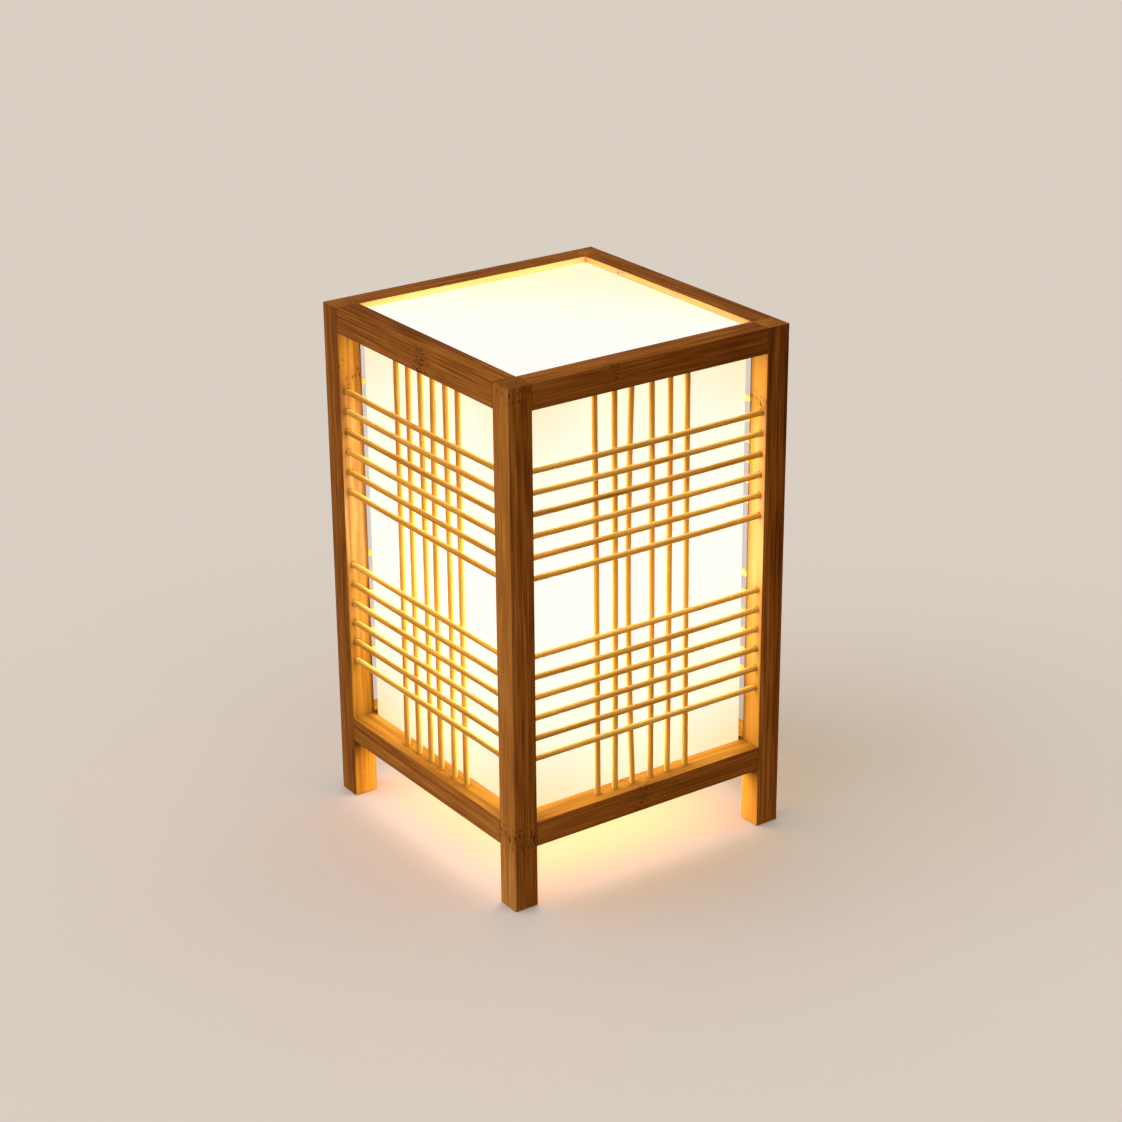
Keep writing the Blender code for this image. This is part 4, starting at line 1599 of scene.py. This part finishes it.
    def _grommet(self) -> Shape:
        """Makes the sleeve through the bar, with a rounded lip under it.

        Returns:
            The shape.
        """
        low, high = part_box("cord_grommet")
        bore, sleeve, lip = self.cord_bore, self.grommet_sleeve, high.x
        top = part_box("holder_bar")[0].z - self.gap
        half = (top - low.z) / 2
        return turned(
            [(bore, high.z)]
            + arc((bore + half, low.z + half), half, 180, 270, 5)
            + arc((lip - half, low.z + half), half, -90, 90, 8)
            + [(sleeve, top), (sleeve, high.z)]
        )

    def _wall_heights(self, low: Vector, high: Vector) -> list[float]:
        """Heights of the rings of a wall that gets a thread.

        Args:
            low: The lowest corner of its node's box.
            high: The highest corner of its node's box.

        Returns:
            The heights, from the foot up.
        """
        foot = low.z + self.wall
        return [foot + (high.z - foot) * step / self.wall_steps for step in range(self.wall_steps + 1)]

    def _shell(self) -> Shape:
        """Makes the screw shell, with walls fine enough for its thread.

        Returns:
            The shape.
        """
        low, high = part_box("holder_shell")
        outer, inner = high.y, high.y - self.wall
        heights = self._wall_heights(low, high)
        return turned(
            [(self.shell_lap, low.z), (outer, low.z)]
            + [(outer, height) for height in heights]
            + [(inner, height) for height in reversed(heights)]
            + [(self.shell_lap, low.z + self.wall)]
        )

    def _cap(self) -> Shape:
        """Makes the bulb's screw cap, with a wall fine enough for its thread.

        Returns:
            The shape.
        """
        low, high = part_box("bulb_cap")
        outer = high.y
        side = [(outer, height) for height in self._wall_heights(low, high)]
        return turned([(0.0, low.z), (outer - self.wall, low.z)] + side + [(0.0, high.z)])

    def _housing(self) -> Shape:
        """Makes the flared housing, with a rounded rim.

        Returns:
            The shape.
        """
        low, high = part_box("bulb_housing")
        rim, ease = high.y, self.rim_round
        profile = [(0.0, low.z)]
        for step in range(self.flare_steps + 1):
            share = step / self.flare_steps
            flare = math.sin(share * math.pi / 2)
            profile.append((self.neck + (rim - self.neck) * flare, low.z + (high.z - low.z - ease) * share))
        profile += arc((rim - ease, high.z - ease), ease, 0, 90, 4)[1:]
        return turned(profile + [(0.0, high.z)], self.bulb_steps)

    def _globe(self) -> Shape:
        """Makes the opal globe with its wall.

        Returns:
            The shape.
        """
        low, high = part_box("bulb_globe")
        radius = high.y
        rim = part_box("bulb_housing")[1].y
        start = -math.degrees(math.acos(rim / radius))
        centre = (0.0, low.z - radius * math.sin(math.radians(start)))
        outside = arc(centre, radius, start, 90, 32)
        inside = arc(centre, radius - self.globe_wall, start, 90, 32)
        # The crowns lie on the axis, and the inner wall starts level with the outer one
        outside[-1] = (0.0, centre[1] + radius)
        inside[-1] = (0.0, centre[1] + radius - self.globe_wall)
        inside[0] = (inside[0][0], low.z)
        return turned(inside[::-1] + outside, self.bulb_steps)

    def _screw(self, node: str) -> Shape:
        """Makes a round-headed slotted wood screw.

        Args:
            node: The node that it stands for.

        Returns:
            The shape.
        """
        low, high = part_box(node)
        place = (low.x + high.x) / 2
        head = (high.x - low.x) / 2
        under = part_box("holder_body")[0].z + self.head_seat
        rise = high.z - under
        angles = [math.radians(angle) for angle in range(0, 90, 10)]
        crown = [(head * math.cos(angle), under + rise * math.sin(angle)) for angle in angles]
        point = [(0.0, low.z), (self.shank, low.z + self.shank), (self.shank, under)]
        shape = turned(point + crown + [(0.0, high.z)], 32)
        half, depth = self.slot
        slot = bmesh.new()
        add_block(slot, (-2 * head, -half, high.z - depth), (2 * head, half, high.z + rise))
        shape = combined(shape, slot, "DIFFERENCE")
        bmesh.ops.translate(shape, vec=(place, 0, 0), verts=shape.verts)
        return shape


@dataclass(frozen=True)
class Sun:
    """A broad soft light from far away, on a group of pieces."""

    name: str
    strength: float
    colour: Point
    comes_from: Point
    angle: float
    lit: Lit


@dataclass
class Studio:
    """The floor, the light and the camera."""

    paper: str = "#d8cbc2"
    ambient: Light = (0.34, (1.0, 0.61, 0.22))
    # The soft light from above and the key light from the left, apart for the lamp, its sticks and the floor
    suns: tuple[Sun, ...] = (
        Sun("overhead", 1.10, (1.0, 0.94, 0.66), UP, 110.0, Lit.NOT_SHEETS),
        Sun("floor_overhead", 2.4, (0.7, 0.89, 0.945), UP, 110.0, Lit.FLOOR),
        Sun("key", 3.5, (0.97, 1.13, 2.1), (-0.92, -0.12, 0.36), 50.0, Lit.STOUT),
        Sun("stick_key", 1.0, (0.92, 1.08, 2.0), (-0.92, -0.12, 0.36), 50.0, Lit.STICKS),
        Sun("stick_sky", 1.3, (0.4, 1.0, 2.4), (0.0, -0.3, 0.95), 50.0, Lit.SHADED_STICKS),
        Sun("floor_key", 0.62, (1.0, 1.06, 1.48), (-0.66, 0.24, 0.71), 50.0, Lit.FLOOR),
    )
    # The glow in front of each side sheet on the frame, in bands from the lower edge up
    glow_bands: tuple[Light, ...] = (
        (6.8, (1.0, 1.2, 0.7)),
        (12.0, (1.0, 1.26, 1.4)),
        (14.0, (1.0, 1.48, 3.0)),
        (14.0, (1.0, 1.33, 2.2)),
        (8.4, (1.0, 1.24, 1.1)),
    )
    glow_gap: float = 0.5 * MM
    glow_top: Light = (30.0, (0.66, 0.86, 2.0))
    # It stands just under the sheet's upper side, so that it also reaches the gap round the sheet
    glow_top_depth: float = 1.0 * MM
    # The glow in front of each side sheet on the sticks, the height of its middle and its own height
    stick_glow: tuple[tuple[Light, Pair], ...] = (
        ((4.2, (1.0, 0.98, 1.15)), (168 * MM, 249 * MM)),
        ((3.6, (1.0, 0.98, 1.15)), (150 * MM, 120 * MM)),
    )
    # The bulb's light through the open bottom: on the floor, round it from the members, and on the feet
    pool: Light = (6.7233, (0.86, 1.0, 1.45))
    pool_height: float = 160.0 * MM
    pool_size: float = 76.0 * MM
    spill: Light = (2.65, (1.0, 0.58, 0.2))
    feet: Light = (26.0, (1.0, 1.04, 0.72))
    under_gap: float = 3.0 * MM
    camera_place: Point = (-0.800481, -1.150893, 0.743794)
    camera_target: Point = (0.0040978, 0.0, 0.1523987)
    camera_roll: float = -0.4359
    lens: float = 86.5332
    sensor: float = 36.0
    groups: dict[Lit, bpy.types.Collection] = field(default_factory=dict)

    def build(self) -> None:
        """Sets the stage."""
        scene = bpy.context.scene
        scene.view_settings.view_transform = "Standard"
        self._world(scene)
        self._group(self._floor())
        for sun in self.suns:
            came_from = Vector(sun.comes_from)
            lamp = self._lamp(sun.name, "SUN", sun.strength, sun.colour, 2 * came_from, -came_from, sun.lit)
            lamp.data.angle = math.radians(sun.angle)
        self._glow()
        self._glow_below()
        self._sheet_panels("stick_glow", self.stick_glow, Lit.STICKS)
        self._camera(scene)

    def _world(self, scene: bpy.types.Scene) -> None:
        """Makes the world: an even soft light that looks like the backdrop.

        Args:
            scene: The scene.
        """
        world = bpy.data.worlds.new("soft_studio")
        scene.world = world
        world.use_nodes = True
        world.node_tree.nodes.clear()
        graph = Graph(world.node_tree)
        path = graph.add("ShaderNodeLightPath").outputs
        seen = graph.maths("MAXIMUM", path["Is Camera Ray"], path["Is Glossy Ray"])
        seen = graph.maths("MAXIMUM", seen, path["Is Transmission Ray"])
        strength, colour = self.ambient
        light = graph.add("ShaderNodeBackground", {"Color": (*colour, 1.0), "Strength": strength})
        plain = graph.add("ShaderNodeBackground", {"Color": linear(self.paper), "Strength": 1.0})
        both = graph.add("ShaderNodeMixShader", {0: seen, 1: light, 2: plain})
        graph.add("ShaderNodeOutputWorld", {"Surface": both})

    def _floor(self) -> Piece:
        """Makes the floor: matt paper with a faint tooth.

        Returns:
            The floor.
        """
        made, graph, shader = new_finish("matt_paper")
        tooth = {"Vector": graph.object_place(), "Scale": 900.0, "Detail": 2.0}
        bump = graph.bump(graph.add("ShaderNodeTexNoise", tooth), 0.03, 0.1)
        dressed = {
            "Base Color": linear(self.paper),
            "Roughness": 0.9,
            "Specular IOR Level": 0.1,
            "Normal": bump,
        }
        graph.feed(shader, dressed)
        shape = bmesh.new()
        bmesh.ops.create_grid(shape, x_segments=4, y_segments=4, size=8.0)
        bmesh.ops.translate(shape, vec=(0, 0, -0.2 * MM), verts=shape.verts)
        floor = mesh_piece("floor", finished_mesh(shape), made)
        floor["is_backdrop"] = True
        floor.visible_diffuse = False
        return floor

    def _group(self, floor: Piece) -> None:
        """Sorts the floor and the pieces into the groups that lights are linked to.

        Args:
            floor: The floor.
        """
        self.groups = {lit: bpy.data.collections.new(lit.value) for lit in Lit}
        self.groups[Lit.FLOOR].objects.link(floor)
        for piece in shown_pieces():
            name = piece.name
            sheet, stick = "opal" in name, "sticks" in name
            belongs = {
                Lit.PIECES: True,
                Lit.NOT_SHEETS: not sheet,
                Lit.STOUT: not sheet and not stick,
                Lit.STICKS: stick,
                Lit.SHADED_STICKS: stick and Side.LEFT.label not in name,
                Lit.FRAME: "bamboo" in name,
                Lit.ROUND_THE_POOL: any(word in name for word in ("post", "bottom_rail", "opal_sheet")),
            }
            for lit in (lit for lit, inside in belongs.items() if inside):
                self.groups[lit].objects.link(piece)
            if sheet:
                piece.light_linking.receiver_collection = self.groups[Lit.PIECES]

    def _lamp(
        self, name: str, kind: str, energy: float, colour: Point, place: Point, towards: Point, lit: Lit
    ) -> Piece:
        """Adds a lamp that the camera doesn't see.

        Args:
            name: Its name.
            kind: SUN or AREA.
            energy: Its power in watts, or a sun's strength.
            colour: Its linear colour.
            place: Where it is.
            towards: The direction that it shines in.
            lit: What it falls on.

        Returns:
            The lamp.
        """
        data = bpy.data.lights.new(name, kind)
        data.energy = energy
        data.color = colour
        lamp = bpy.data.objects.new(name, data)
        lamp.location = place
        lamp.rotation_mode = "QUATERNION"
        lamp.rotation_quaternion = Vector(towards).to_track_quat("-Z", "Y")
        lamp.visible_camera = False
        lamp.light_linking.receiver_collection = self.groups[lit]
        bpy.context.scene.collection.objects.link(lamp)
        return lamp

    def _panel(self, name: str, light: Light, place: Point, towards: Point, size: Pair, lit: Lit) -> Piece:
        """Adds a flat lamp.

        Args:
            name: Its name.
            light: Its radiance and colour.
            place: Its middle.
            towards: The direction that it shines in.
            size: Its width and height.
            lit: What it falls on.

        Returns:
            The lamp.
        """
        radiance, colour = light
        width, height = size
        lamp = self._lamp(name, "AREA", math.pi * radiance * width * height, colour, place, towards, lit)
        lamp.data.shape = "RECTANGLE"
        lamp.data.size = width
        lamp.data.size_y = height
        return lamp

    def _sheet_panels(self, name: str, bands: Sequence[tuple[Light, Pair]], lit: Lit) -> list[Piece]:
        """Adds flat lamps in front of each side sheet, as wide as it is.

        Args:
            name: The start of their names.
            bands: The light of each lamp on a side, the height of its middle and its own height.
            lit: What they fall on.

        Returns:
            The lamps.
        """
        low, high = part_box("shade_front")
        lamps = []
        for side in Side:
            towards = side.turn @ Vector((0, -1, 0))
            for number, (light, (middle, height)) in enumerate(bands):
                spot = side.turn @ Vector((0, low.y - self.glow_gap, middle))
                size = (high.x - low.x, height)
                lamps.append(self._panel(f"{name}_{side.label}_{number}", light, spot, towards, size, lit))
        return lamps

    def _glow(self) -> None:
        """Adds the light that the lit sheets throw on the frame."""
        low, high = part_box("shade_front")
        band = (high.z - low.z) / len(self.glow_bands)
        middles = [low.z + band * (number + 0.5) for number in range(len(self.glow_bands))]
        bands = [(light, (middle, band)) for light, middle in zip(self.glow_bands, middles)]
        for lamp in self._sheet_panels("glow", bands, Lit.FRAME):
            lamp.visible_glossy = False
        top_low, top_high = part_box("top_panel")
        across = top_high.x - top_low.x
        spot = (0, 0, top_high.z - self.glow_top_depth)
        lamp = self._panel("glow_top", self.glow_top, spot, UP, (across, across), Lit.FRAME)
        lamp.visible_glossy = False
        lamp.light_linking.blocker_collection = self.groups[Lit.FRAME]

    def _glow_below(self) -> None:
        """Adds the bulb's light below the lamp, on its feet and on the floor."""
        top_low, top_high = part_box("top_panel")
        across = (top_high.x - top_low.x,) * 2
        under = (0, 0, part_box("holder_bar")[0].z - self.under_gap)
        feet = self._panel("feet", self.feet, under, DOWN, across, Lit.FRAME)
        feet.visible_glossy = False
        pool_size = (self.pool_size, self.pool_size)
        pool = self._panel("pool", self.pool, (0, 0, self.pool_height), DOWN, pool_size, Lit.FLOOR)
        pool.light_linking.blocker_collection = self.groups[Lit.ROUND_THE_POOL]
        self._panel("spill", self.spill, under, DOWN, across, Lit.FLOOR)

    def _camera(self, scene: bpy.types.Scene) -> None:
        """Adds the camera at the photograph's angle.

        Args:
            scene: The scene.
        """
        data = bpy.data.cameras.new("camera")
        data.sensor_width = self.sensor
        data.sensor_fit = "HORIZONTAL"
        data.lens = self.lens
        camera = bpy.data.objects.new("camera", data)
        back = (Vector(self.camera_place) - Vector(self.camera_target)).normalized()
        right = Vector(UP).cross(back).normalized()
        level = Matrix((right, back.cross(right), back)).transposed()
        turn = level @ Matrix.Rotation(math.radians(self.camera_roll), 3, "Z")
        camera.matrix_world = Matrix.Translation(self.camera_place) @ turn.to_4x4()
        scene.collection.objects.link(camera)
        scene.camera = camera


def main() -> None:
    """Builds the lamp's sub-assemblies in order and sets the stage."""
    logging.basicConfig(level=logging.INFO, format="%(name)s: %(message)s")
    lattice = StickLattice()
    Frame().build(lattice)
    lattice.build()
    OpalShade().build()
    Fitting().build()
    Studio().build()


if __name__ == "__main__":
    main()
